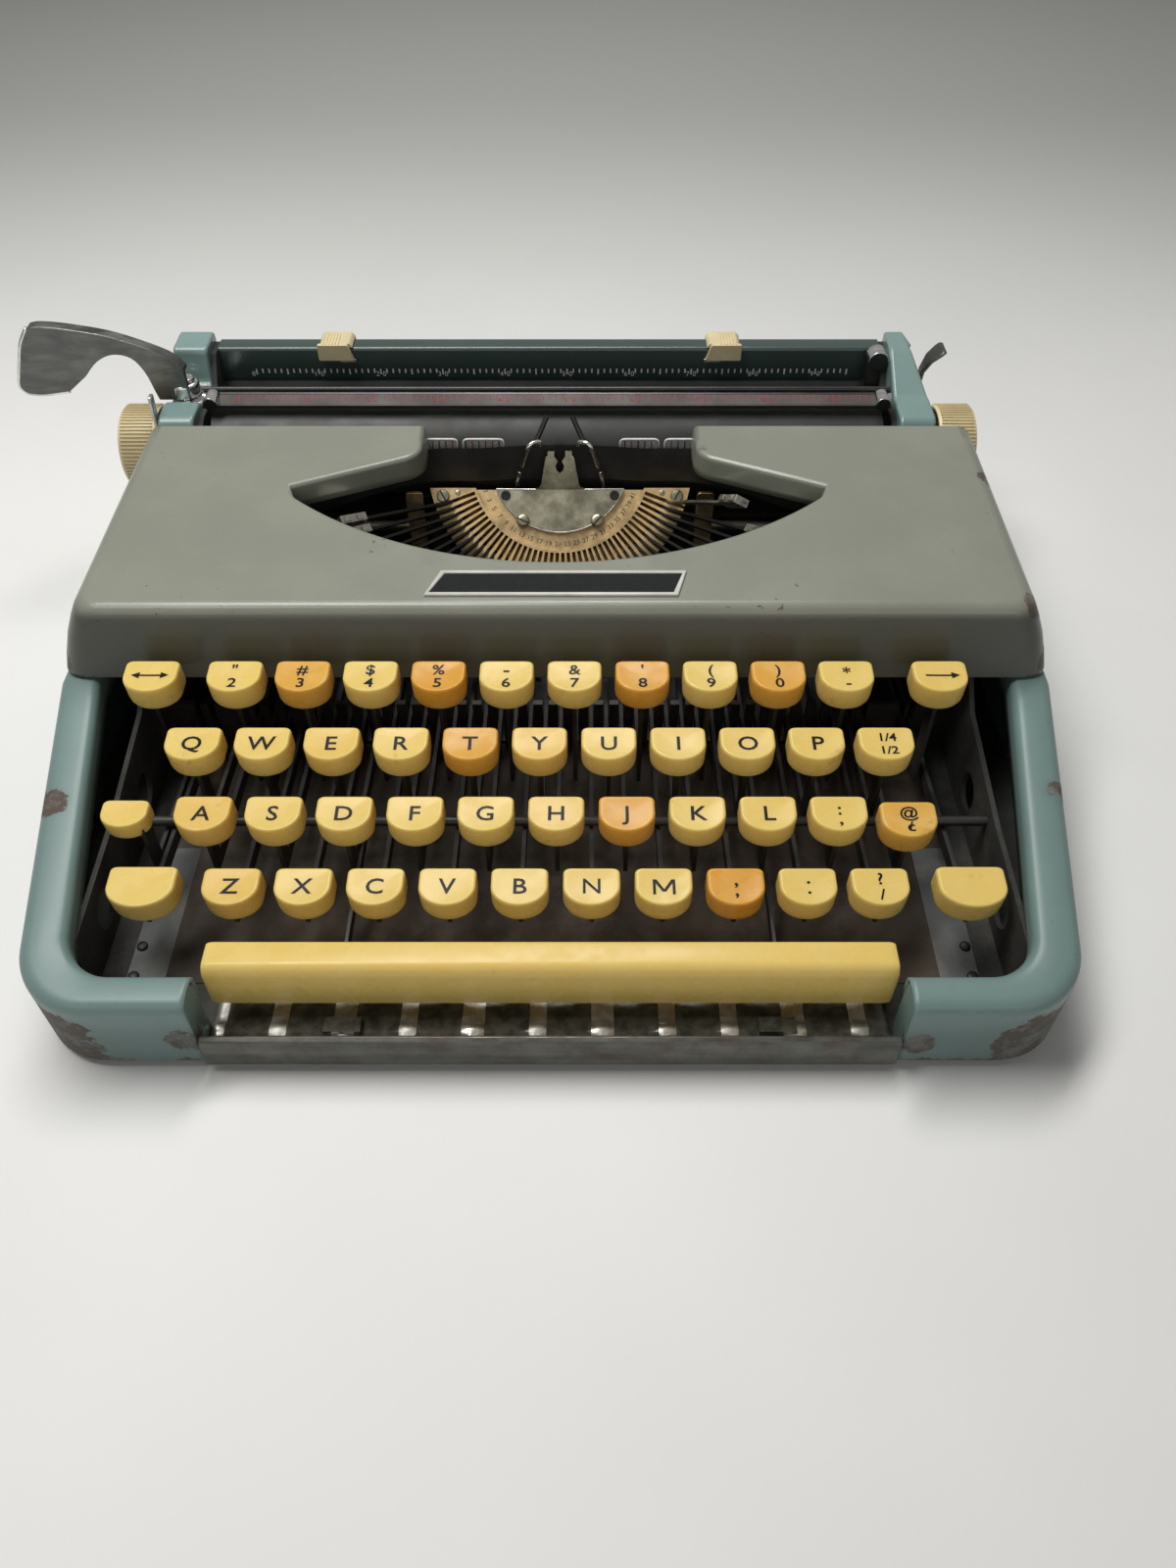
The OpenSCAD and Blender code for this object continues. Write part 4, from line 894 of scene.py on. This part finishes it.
def single_key(piece, body, node, x, row, name="", marks=(), tips=(), turn=None):
    build = Build()
    whole_key(build, x, row, name, marks, turn=turn)
    if tips:
        arrow(build, (x, key_y(row), key_z(row)), tips)
    build.piece(piece, KEY_LOOKS, body, node)


def letter(text):
    return text, [(text, 7.4, 0, 0.1)]


def make_keys():
    special = {"*": ("*", 5.4, 0, 1.6), "_": ("-", 6.4, 0, 2.6)}
    numbers = [(low, [special.get(top, (top, 5.4, 0, 2.5)), (low, 5.4, 0, -2.4)])
               for top, low in zip(NUMBER_TOP, NUMBER_LOW)]
    key_row("number_row_keys", "number_row", "number_keys", 3, 4.75, numbers)
    half = ("half", [("1/4", 4.2, 0.2, 2.4), ("1/2", 4.2, 0.2, -2.2)])
    key_row("upper_row_keys", "upper_row", "upper_keys", 2, 5.25, [letter(c) for c in "QWERTYUIOP"] + [half])
    stops = [(",", [(",", 6.4, 0, 2.4), (",", 6.4, 0, -0.9)]), (".", [(".", 6.4, 0, 3.0), (".", 6.4, 0, -0.2)]),
             ("?", [("?", 5.4, 0, 2.5), ("/", 5.2, 0, -2.4)])]
    key_row("lower_row_keys", "lower_row", "lower_keys", 0, 4.5, [letter(c) for c in "ZXCVBNM"] + stops)
    for i, c in enumerate(HOME):
        single_key("letter_key_" + c, c.lower() + "_key", "key_" + c.lower(), key_x(i - 5), 1, *letter(c))
    single_key("colon_key", "semicolon_key", "key_semicolon", key_x(4), 1, ";",
               [(":", 6.0, 0, 1.6), (",", 6.0, 0, -1.6)])
    single_key("at_sign_key", "at_key", "key_at", key_x(5), 1, "@",
               [("@", 5.2, 0, 2.3), ("c", 5.2, 0, -2.2), ("/", 4.6, 0, -2.2)],
               turn=spin("X", 22 / 25.2, (0, PIVOT_Y, PIVOT_Z)))
    single_key("margin_key", "margin_release", "margin_release_key", -115.5, 3, tips=SIDES)
    single_key("back_key", "backspace", "backspace_key", 110.7, 3, "back", tips=(1,))


def make_shift():
    """Shift keys on their common shaft, and the lock that rides on them."""
    link_y, link_z = -37, lever_z(-37)
    pair = Build()
    for x in SHIFT_X:
        whole_key(pair, x, 0, size=(18.6, 13.4, KEY_H))
    pair.tube([(-111.6, 58, 9), (0, 58, 9), (114.2, 58, 9)], 1.5, 1, 14)
    pair.tube([(-114.3, link_y, link_z), (-111, link_y, link_z)], 0.8, 1, 10)
    for x in SHIFT_X:
        pair.box((x - 0.6, 53.2, 6.5), (x + 0.6, 60.5, 11.5), 1)
    pair.piece("shift_key_pair", KEY_LOOKS, "shift", "shift_keys")
    lock = Build()
    y, top = key_y(1), key_z(1)
    z = lever_z(y)
    keytop(lock, (-117.9, y, top), (13.0, 9.6, 6.0), 0.0)
    bar = [(y - 2.5, top - 4), (y - 2.5, z), (-34, link_z - 2), (-34, link_z + 2), (y + 2.5, z + 1.5),
           (y + 2.5, top - 4)]
    lock.prism(bar, -114, -112.8, "x", 1)
    lock.box((-117.4, y - 2, top - 7.5), (-113, y + 2, top - 4.5), 1)
    lock.piece("lock_key", KEY_LOOKS, "lock", "shift_lock")


def make_space_bar():
    build = Build()
    section = rounded([(-119.2, 11.6), (-119.2, 25.6), (-117.6, 28.1), (-109.8, 28.1), (-109.8, 11.6)], 1.3, 4)
    left = [(-90.5, 0.90), (-90.3, 0.95), (-89.6, 0.985), (-88.6, 1.0), (-60, 1.0), (-30, 1.0), (0, 1.0)]
    middle_y, middle_z = -114.5, 20
    build.loft([[(x, middle_y + (y - middle_y) * grow, middle_z + (z - middle_z) * grow) for y, z in section]
                for x, grow in whole(left)], 0)
    for x in SPACE_ARMS:
        arm = [(-114, 17.1), (-114, 13.1), (-60.6, 13.1), (-60.6, 25.2), (-67.0, 25.2), (-67.0, 17.1)]
        build.prism(arm, x - 0.45, x + 0.45, "x", 1)
    build.tube([(x, -63.8, 22.08) for x in (-127.4, 0, 127.4)], 1.5, 1, 14)
    build.piece("space_bar_moulding", KEY_LOOKS, "space", "space_bar")


# Type basket and ribbon

SEGMENT = posed((0, 71, 55.8), 45, "X")
BAR_COUNT, BAR_SPREAD = 41, 140.0
BAR_STEP = BAR_SPREAD / BAR_COUNT
PLATEN_Y, PLATEN_Z = 93.0, 48.0
RIBBON_Z, RIBBON_WIDTH = 48, 13


def screw(build, u, v, w, r, angle):
    """Cheese-head screw with its slot, standing on the segment's plane."""
    build.lathe([(w - 0.5, r), (w + 0.55, r), (w + 0.9, r * 0.86), (w + 1.05, r * 0.5), (w + 1.08, 0.05)],
                (u, v, 0), "z", 24, 0, SEGMENT)
    cut = SEGMENT @ posed((u, v, 0), angle, "Z")
    build.box((-r * 0.88, -0.28, w + 0.6), (r * 0.88, 0.28, w + 1.12), 1, cut)


def typebar(build, rise, turn):
    """Typebar with its tapered arm, slug and two raised type faces."""
    pose = turn @ posed((40, 0, -1.2), -rise, "Y")
    half = 0.45
    rings = []
    for along, low, high in ((-2, -1.2, 1.2), (20, -1.1, 1.2), (38, -0.9, 1.0), (42, -0.9, 1.2), (47, -0.9, 1.2)):
        rings.append([(along, y, z) for y, z in rect(-half, low, half, high)])
    build.loft(rings, 0, turn=pose)
    build.prism([(36.5, -1.2), (47, -1.2), (47, 4.0), (37.4, 4.0)], -1.3, 1.3, "y", 1, pose)
    for along in (38.6, 43.4):
        build.box((along, -0.9, 4.0), (along + 2.4, 0.9, 4.7), 1, pose)


def make_typebars():
    fan = Build()
    typebar(fan, 38.7, posed((0, 0, 0), -160, "Z"))
    fan.piece("typebar_fan", ["bar", "slug"], "frame", "typebars", ring=(BAR_COUNT, BAR_STEP, SEGMENT))
    one = Build()
    typebar(one, 60.7, SEGMENT @ posed((0, 0, 0), -20, "Z"))
    one.piece("raised_typebar", ["slug", "slug"], "at_bar", "stuck_typebar", bevel=0.1)


def make_basket():
    """Type guide, screws, stamped numbers and side tabs round the segment."""
    plate = Build()
    outline = [(-22.2, -9)] + arc(0, 0, 24, 180 + 22.0, 360 - 22.0, 40) + [(22.2, -9)]
    plate.prism(outline, -3.4, -2.0, "z", 0, SEGMENT)
    plate.tube([(u, v, -2.05) for u, v in [(-8.4, -9.1)] + outline + [(8.4, -9.1)]], 0.26, 2, 8, SEGMENT)
    neck = [(9.4, 0.0), (7.4, 0.5), (6.6, 1.6), (6.3, 3.2), (4.9, 11.0), (4.6, 11.4), (1.9, 11.4), (0.7, 9.6),
            (1.5, 8.2), (1.2, 6.6), (0.0, 5.4)]
    lean = posed((0, 65.9, 48.0), -19, "X")
    plate.prism(whole(neck), 0.0, 1.2, "y", 0, lean)
    eyelet = [(-2.1, 1.7), (-1.75, 1.7), (-1.7, 1.0), (-1.95, 0.95)]
    for side in SIDES:
        plate.lathe(eyelet, (side * 19.0, -11.2, 0), "z", 20, 1, SEGMENT)
        low, high = sorted((side * 1.9, side * 4.2))
        plate.box((low, 0.2, 11.2), (high, 1.6, 13.0), 0, lean)
    plate.piece("guide_plate_sheet", ["guide", "black", "steel"], "frame", "type_guide", bevel=0.25)

    heads = Build()
    for side in SIDES:
        screw(heads, side * 13, -20, -2.0, 2.3, 35 * side + 10)
        screw(heads, side * 40.6, -11.8, 0.0, 2.2, 60 * side)
        heads.lathe([(-0.2, 0.9), (0.35, 0.9), (0.5, 0.5)], (side * 35.5, -10.6, 0), "z", 16, 0, SEGMENT)
    heads.piece("segment_screw_heads", ["guide", "black"], "frame", "segment_screws", bevel=0.08)

    stamped, radius = Build(), 27.9
    for i in range(0, BAR_COUNT + 1, 2):
        turn = math.radians(-90 - BAR_SPREAD / 2 + BAR_STEP * i)
        pose = SEGMENT @ Matrix.Translation((radius * math.cos(turn), radius * math.sin(turn), -3.35))
        stamped.add(*words(str(i + 1), 2.4), 0, turn=pose @ Matrix.Rotation(turn + math.pi / 2, 4, "Z"))
    stamped.piece("segment_numbers", ["dark_steel"], "frame")
    tabs = Build()
    for side in SIDES:
        x = side * 50.5
        tabs.prism(rounded(rect(x - 3, 12, x + 3, 50), 1.5, 4), 60.7, 62.0, "y", 0)
    tabs.piece("basket_side_tabs", ["brass"], "frame", bevel=0.2)


def make_ribbon():
    build = Build()
    right = [(102, 38), (56, 67.5), (26, 71.3), (8, 73.1)]
    path = smooth_path([(-x, y) for x, y in right] + right[::-1], 6)
    rows = 5
    rings = []
    for i, (x, y) in enumerate(path):
        sag = 0.25 * math.sin(i * 0.9)
        rings.append([(x, y + sag * math.sin(math.pi * j / rows), RIBBON_Z + RIBBON_WIDTH * j / rows)
                      for j in range(rows + 1)])
    build.loft(rings, closed=False)
    made = build.piece("ink_ribbon", ["ribbon"], "frame", "ribbon", angle=60)
    for side, body in zip(SIDES, ("left_spool", "right_spool")):
        wound = Build()
        wound.lathe([(48.1, 6.2), (48.1, 15.5), (60.6, 15.5), (60.6, 6.2)], (side * 104, 20, 0), "z", 40)
        wound.piece("wound_ribbon_" + body, ["ribbon"], body, bevel=0.2)
    guides = Build()
    hook = [(13.2, 70.0, 54.4), (12.3, 70.0, 57.5), (10.9, 70.1, 61.4), (9.8, 70.6, 62.9), (8.0, 71.6, 63.1),
            (6.8, 72.4, 62.6), (6.2, 72.6, 61.2)]
    foot = [(9.0, 71.6, 42.4), (14.4, 71.4, 43.0), (15.3, 70.6, 45.5), (14.9, 69.9, 49.0), (14.0, 69.9, 52.6)]
    for side in SIDES:
        for wire in (hook, foot):
            guides.tube(smooth_path([(side * x, y, z) for x, y, z in wire], 5), 0.8, 0, 10)
    guides.box((-10.5, 70.6, 41.2), (10.5, 72.6, 42.8), 0)
    guides.piece("ribbon_guide_wires", ["chrome"], "vibrator", "ribbon_vibrator", bevel=0.1)


def make_card_holders():
    clear = Build()
    for low, high in ((-48.0, -35.2), (-33.8, -19.2), (20.6, 34.6), (36.0, 49.6)):
        clear.prism(rounded(rect(low, 46.8, high, 62.2), 2.4, 5), 75.1, 75.9, "y", 0)
        a, b = low + 0.3, high - 0.3
        rim = rounded([(a, 58.5), (a, 62.0), (b, 62.0), (b, 58.5)], 2.2, 5, closed=False)
        clear.tube([(x, 75.2, z) for x, z in rim], 0.32, 1, 8)
    clear.piece("card_holder_plates", ["clear", "white"], "frame", "line_scales", bevel=0.12)
    ticks = Build()
    for first in (-46.5, 22.5):
        for i in range(12):
            x = first + LETTER * i
            ticks.box((x - 0.2, 74.98, 56.6), (x + 0.2, 75.08, 61.4), int(i % 3 == 1))
    ticks.piece("card_holder_ticks", ["dark_steel", "red"], "frame")
    fingers = Build()
    for side in SIDES:
        wire = [(20.0, 74.4, 56.0), (12.0, 74.4, 58.0), (8.4, 74.6, 61.5), (4.4, 78.4, 68.8)]
        fingers.tube(smooth_path([(side * x, y, z) for x, y, z in wire], 5), 0.9, 0, 10)
    fingers.piece("paper_fingers", ["black"], "frame")


# Carriage

RAIL_HALF, BAIL_HALF, SCALE_LETTERS = 121.45, 120.6, 96


def both_ends(half):
    """Left and right end of a carriage part that reaches a half length each way."""
    return tuple(side * half + REST_X for side in SIDES)


def scale_marks(build, first, place, half, text, size, tall):
    """Ruled scale: ticks with a longer one each five and a number astride each tenth tick."""
    for i in range(SCALE_LETTERS):
        x = first + LETTER * i
        build.box((x - half, 0, -tall * (1.35 if i % 5 == 0 else 1.0)), (x + half, 0.05, 0.0), 0, place)
        if i % 10 == 0:
            for digit, dx in zip(str(i), (-1.25, 1.25)):
                verts, faces = words(digit, size)
                build.add([(u + x + dx, -0.03, v + text) for u, v, _ in verts], faces, 0, turn=place)


def half_sleeve(build, place, r, share, start, end, steps, low, high):
    """Thin half sleeve over a hub whose axis runs front to back."""
    cap = arc(0, 0, r, start, end, steps)
    ring = cap + [(u * share, v * share) for u, v in reversed(cap)]
    build.prism([(place[0] + u, place[1] + v) for u, v in ring], low, high, "y", 1)


def make_rail():
    build = Build()
    low, high = both_ends(RAIL_HALF)
    face = rounded([(121.6, 57.2), (121.6, 70.2), (122.4, 71.0), (128.6, 71.0), (128.6, 69.8), (122.8, 69.8),
                    (122.8, 57.2)], 0.5, 3)
    build.prism(face, low, high, "x", 0)
    build.prism([(121.3, 56.0), (121.3, 57.4), (122.9, 57.4), (122.9, 56.0)], low, high, "x", 1)
    build.piece("margin_rail_sheet", ["rail", "chrome"], "carriage", "margin_rail", bevel=0.15, data="wear")
    marks = Build()
    scale_marks(marks, -113.5, Matrix.Translation((0, 121.5, 62.9)), 0.27, -2.0, 2.7, 1.6)
    marks.piece("margin_scale_marks", ["white"], "carriage")


def make_bail():
    build = Build()
    low, high = both_ends(BAIL_HALF)
    tilt = spin("X", 20, (0, 91, 68.3))
    for near, far, look in ((87.9, 92.3, 0), (92.3, 94.5, 2)):
        build.prism(rect(near, 67.6, far, 69.0), low, high, "x", look, tilt)
    build.tube([(x, 94.4, 69.2) for x in (low, 0, high)], 0.9, 2, 12, tilt)
    # painted shadow: the bail's lower edge takes the platen's dark colour, standing in for the shadow line under the
    # bail
    build.prism([(87.3, 67.5), (87.3, 69.1), (87.9, 69.1), (87.9, 67.5)], low, high, "x", 3, tilt)
    reach = Vector((-17.0, 11.3))
    end = reach.length + 1
    arm = rounded([(0, -2), (end, -2), (end, 2), (0, 2), (-3.6, 1.6), (-3.6, -1.6)], 1.4, 4)
    pose = posed((0, 108, 57), math.degrees(math.atan2(reach.y, reach.x)), "X")
    for side in SIDES:
        x0, x1 = sorted((side * 119.3 + REST_X, side * BAIL_HALF + REST_X))
        build.prism(arm, x0, x1, "x", 1, pose)
        x, z = side * 117.2 + REST_X, 68.4
        build.lathe([(86.2, 0.05), (86.2, 2.2), (92.0, 2.2), (92.0, 0.05)], (x, 0, z), "y", 20, 2)
        half_sleeve(build, (x, z), 2.75, 0.8, -8, 188, 14, 86.0, 92.6)
    build.piece("paper_bail_bar", ["bail", "chrome", "black", "platen"], "bail", "paper_bail", bevel=0.12)
    marks = Build()
    scale_marks(marks, -112.2, tilt @ posed((0, 92.2, 69.06), -90, "X"), 0.17, -2.3, 2.6, 2.4)
    marks.piece("bail_scale_marks", ["red"], "bail")


def make_ends():
    front = [(80.0, 32.5), (80.0, 60.0), (83.4, 65.0), (95.0, 65.0)]
    rear = [(129.6, 74.0), (130.6, 32.5)]
    middles = ([(99.0, 61.5), (113.6, 61.5), (115.6, 74.0)], [(98.0, 65.0), (116.0, 74.0)])
    build = Build()
    for side, middle in zip(SIDES, middles):
        inner, outer = [], []
        for y, z in rounded(front + middle + rear, 2.4, 4):
            narrow = 5.5 * min(1.0, max(0.0, (y - 97.0) / 22.0)) if side > 0 else 0.0
            inner.append((side * 123.5 + REST_X, y, z))
            outer.append((side * (136.0 - narrow) + REST_X, y, z))
        build.loft([inner, outer], 0, tone=0.3)
    for tip, root, y, z in ((-138.2, -135, 85.0, 58.0), (138.2, 129, 118.6, 57.0)):
        build.tube([(x + REST_X, y, z) for x in (tip, root)], 1.0, 1, 12)
    build.piece("carriage_end_covers", ["ends", "steel"], "carriage", "end_covers", bevel=1.3, data="wear",
                segments=3)
    bracket = Build()
    low, high, top = 116.2 + REST_X, 123.2 + REST_X, 70.0
    x = (low + high) / 2
    bracket.box((low, 114.4, 50.0), (high, 119.2, top), 0)
    bracket.lathe([(113.6, 0.05), (113.6, 3.3), (119.0, 3.3), (119.0, 0.05)], (x, 0, top), "y", 24, 0)
    half_sleeve(bracket, (x, top), 3.7, 0.88, 0, 180, 12, 113.2, 119.4)
    bracket.piece("rear_bracket", ["black", "chrome"], "carriage", bevel=0.2)
    dial = Build()
    x = -128.0 + REST_X
    dial.box((x - 3.2, 99.6, 61.4), (x + 3.2, 113.2, 61.9), 0)
    for i, mark in enumerate("123"):
        verts, faces = words(mark, 3.4)
        dial.add([(u + x - 0.4, v + 101.6 + 4.6 * i, 61.94) for u, v, _ in verts], faces, 1)
    dial.piece("line_space_dial", ["chrome", "ink"], "carriage", bevel=0.1)


def make_knobs():
    ribs = 72
    inner = [(9, 3.2), (9, 12.4), (0.3, 13.2), (0, 13.6), (0, 14.1), (0.6, 14.5)]
    outer = [(-1.4, 14.5), (-0.5, 14.0), (0, 12.8), (-0.4, 11.5), (-0.9, 6.0), (-0.6, 0.05)]
    for side, name in zip(SIDES, ("left", "right")):
        a, b = side * 138.5 + REST_X, side * 152.1 + REST_X
        build = Build()
        profile = [(a + side * x, r) for x, r in inner] + [(b + side * x, r) for x, r in outer]
        build.lathe(profile, (0, PLATEN_Y, PLATEN_Z), "x", ribs)
        build.piece("knob_body_" + name, ["cream"], "platen_roll", "platen_knobs")
        rib = Build()
        rib.prism([(14.3, -0.28), (14.3, 0.28), (15.0, 0.16), (15.0, -0.16)], 0.9, 12.2, "z", 0)
        place = posed((a, PLATEN_Y, PLATEN_Z), 90 * side, "Y")
        rib.piece("knob_ribs_" + name, ["cream"], "platen_roll", ring=(ribs, 360 / ribs, place))


def make_return_lever():
    build = Build()
    top = [(-133.1, 73.5), (-138.0, 78.6), (-154.0, 85.2), (-168.0, 88.2), (-179.0, 89.4)]
    tip = [(-183.5, 88.8), (-187.5, 83.0), (-193.5, 67.4), (-191.8, 64.4), (-186.0, 63.8), (-176.0, 65.2)]
    arch = [(-168.5, 71.0), (-162.8, 76.6), (-156.4, 79.2), (-150.4, 77.8), (-147.0, 72.4), (-145.4, 65.4),
            (-144.6, 62.0)]
    soft_tip = rounded(tip, 2.4, 4, closed=False)
    build.prism([(-133.1, 62.0)] + smooth_path(top, 4) + soft_tip + smooth_path(arch, 4), 101.0, 102.6, "y", 0)
    flange = []
    for x, z in smooth_path(top + tip[:1], 5):
        flange.append([(x, 101.2, z - 1.1), (x, 101.2, z), (x, 105.6, z + 0.1), (x, 105.6, z - 1.0)])
    build.loft(flange, 0)
    build.tube([(x, 101.8, z) for x, z in soft_tip], 0.85, 1, 10)
    hub = (-136.118, 106.0, 0)
    build.lathe([(62.0, 2.6), (62.0, 5.5), (66.4, 5.5), (67.0, 4.9), (67.0, 2.6)], hub, "z", 36, 1)
    build.lathe([(67.1, 2.6), (67.1, 4.2), (68.3, 3.8), (68.6, 2.0), (68.7, 0.05)], hub, "z", 24, 1)
    build.piece("return_lever_blade", ["lever", "chrome"], "return_arm", "return_lever", bevel=0.45)


def make_small_levers():
    paddle = Build()
    x, y, thick = 136.3 + REST_X, 118.6, 1.5
    rings = []
    for t, out, half in ((0, 0.0, 2.2), (0.25, 0.1, 2.0), (0.5, 0.5, 2.1), (0.75, 2.4, 3.4), (0.92, 5.2, 4.2),
                         (1, 6.6, 4.0)):
        z = 55.0 + 18.6 * t - (2.0 * max(0, t - 0.7))
        rings.append([(x + out, y - half, z), (x + out + thick, y - half, z - 0.3),
                      (x + out + thick, y + half, z - 0.3), (x + out, y + half, z)])
    paddle.loft(rings, 0)
    paddle.lathe([(x, 1.2), (x, 4.0), (x + thick, 4.0), (x + thick, 1.2)], (0, y, 57), "x", 28, 0)
    paddle.piece("release_paddle", ["lever"], "paper_release", "paper_release_lever", bevel=0.35)
    small = Build()
    x, thick = -137.5 + REST_X, 1.2
    blade = rounded([(83.2, 57), (86.8, 57), (86.8, 66), (87.6, 72.4), (84.2, 72.4), (83.6, 66)], 0.8, 3)
    small.prism(blade, x, x + thick, "x", 0)
    small.lathe([(x, 1.1), (x, 2.3), (x + thick, 2.3), (x + thick, 1.1)], (0, 85, 58), "x", 24, 0)
    small.piece("line_space_tab", ["steel"], "line_space", "line_space_lever", bevel=0.25)


def make_stops():
    half, base, top = 6.5, 67.0, 73.0
    for name, x, lean in (("left", -78 + REST_X, 1), ("right", 64 + REST_X, -1)):
        build = Build()
        left, right = x - half + (2.0 if lean < 0 else 0), x + half - (2.0 if lean > 0 else 0)
        front = rounded([(x - half, base), (x + half, base), (right, top), (left, top)], 0.6, 3)
        build.prism(front, 119.7, 121.25, "y", 0)
        cap = rounded([(x - 6.3, 71.35), (x + 6.3, 71.35), (x + 5, top), (x - 5, top)], 0.4, 2)
        build.prism(cap, 121.2, 130.2, "y", 0)
        build.box((x - 6.2, 129.0, base), (x + 6.2, 130.2, 71.6), 0)
        for i in range(6):
            u = x - lean * 4.4 + lean * 1.1 * i
            build.box((u - 0.25, 120.4, 72.8), (u + 0.25, 128.6, 73.3), 0)
        u = x + lean * 4.0
        build.box((u - 3, 120.6, 65.9), (u + 3, 121.1, 67.2), 1)
        build.piece("margin_stop_block_" + name, ["cream", "chrome"], "stop_" + name, "margin_stop_" + name,
                    bevel=0.3)


# Everything together

CAD_LOOKS = {
    "rubber_feet": "rubber", "chassis": "chassis", "lever_comb": "dark_steel", "key_pivot_shaft": "steel",
    "cover_pins": "steel", "type_segment": "brass", "carriage_rails": "steel", "bell": "chrome",
    "carriage_truck": "steel", "carriage_frame": "chassis", "paper_table": "black", "feed_roller": "rubber",
    "platen": "platen", "platen_shaft": "steel", "line_ratchet": "steel", "spool_left": "dark_steel",
    "spool_right": "dark_steel", "mainspring_drum": "steel", "escapement_wheel": "brass",
}


def finish_cad_nodes():
    for name, look in CAD_LOOKS.items():
        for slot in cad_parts[name].material_slots:
            slot.link = "OBJECT"
            slot.material = M[look]


def make_floor():
    build, reach = Build(), 3000.0
    build.loft([[(-reach, y, -0.02), (reach, y, -0.02)] for y in (-reach, 0.0, reach)], closed=False)
    k = Look("pale_floor_painted_shade", rough=0.55)
    pale = k.mottled(k.noise(6, 4), 0.3, 0.7, (0.82, 0.82, 0.81), (0.86, 0.86, 0.85))
    # painted shade: the floor's colour darkens from front to back, standing in for the light falling off
    k.surface({"Base Color": k.mottled(k.axis("Y"), 0.10, 0.62, pale, (0.42, 0.43, 0.41))})
    add_object("floor", build.mesh("floor", [k.mat]))


place_camera()
light_scene()
make_floor()
finish_cad_nodes()
for make in (make_shell, make_cover, make_name_plate, make_base, make_keys, make_shift, make_space_bar,
             make_typebars, make_basket, make_ribbon, make_card_holders, make_rail, make_bail, make_ends, make_knobs,
             make_return_lever, make_small_levers, make_stops):
    make()
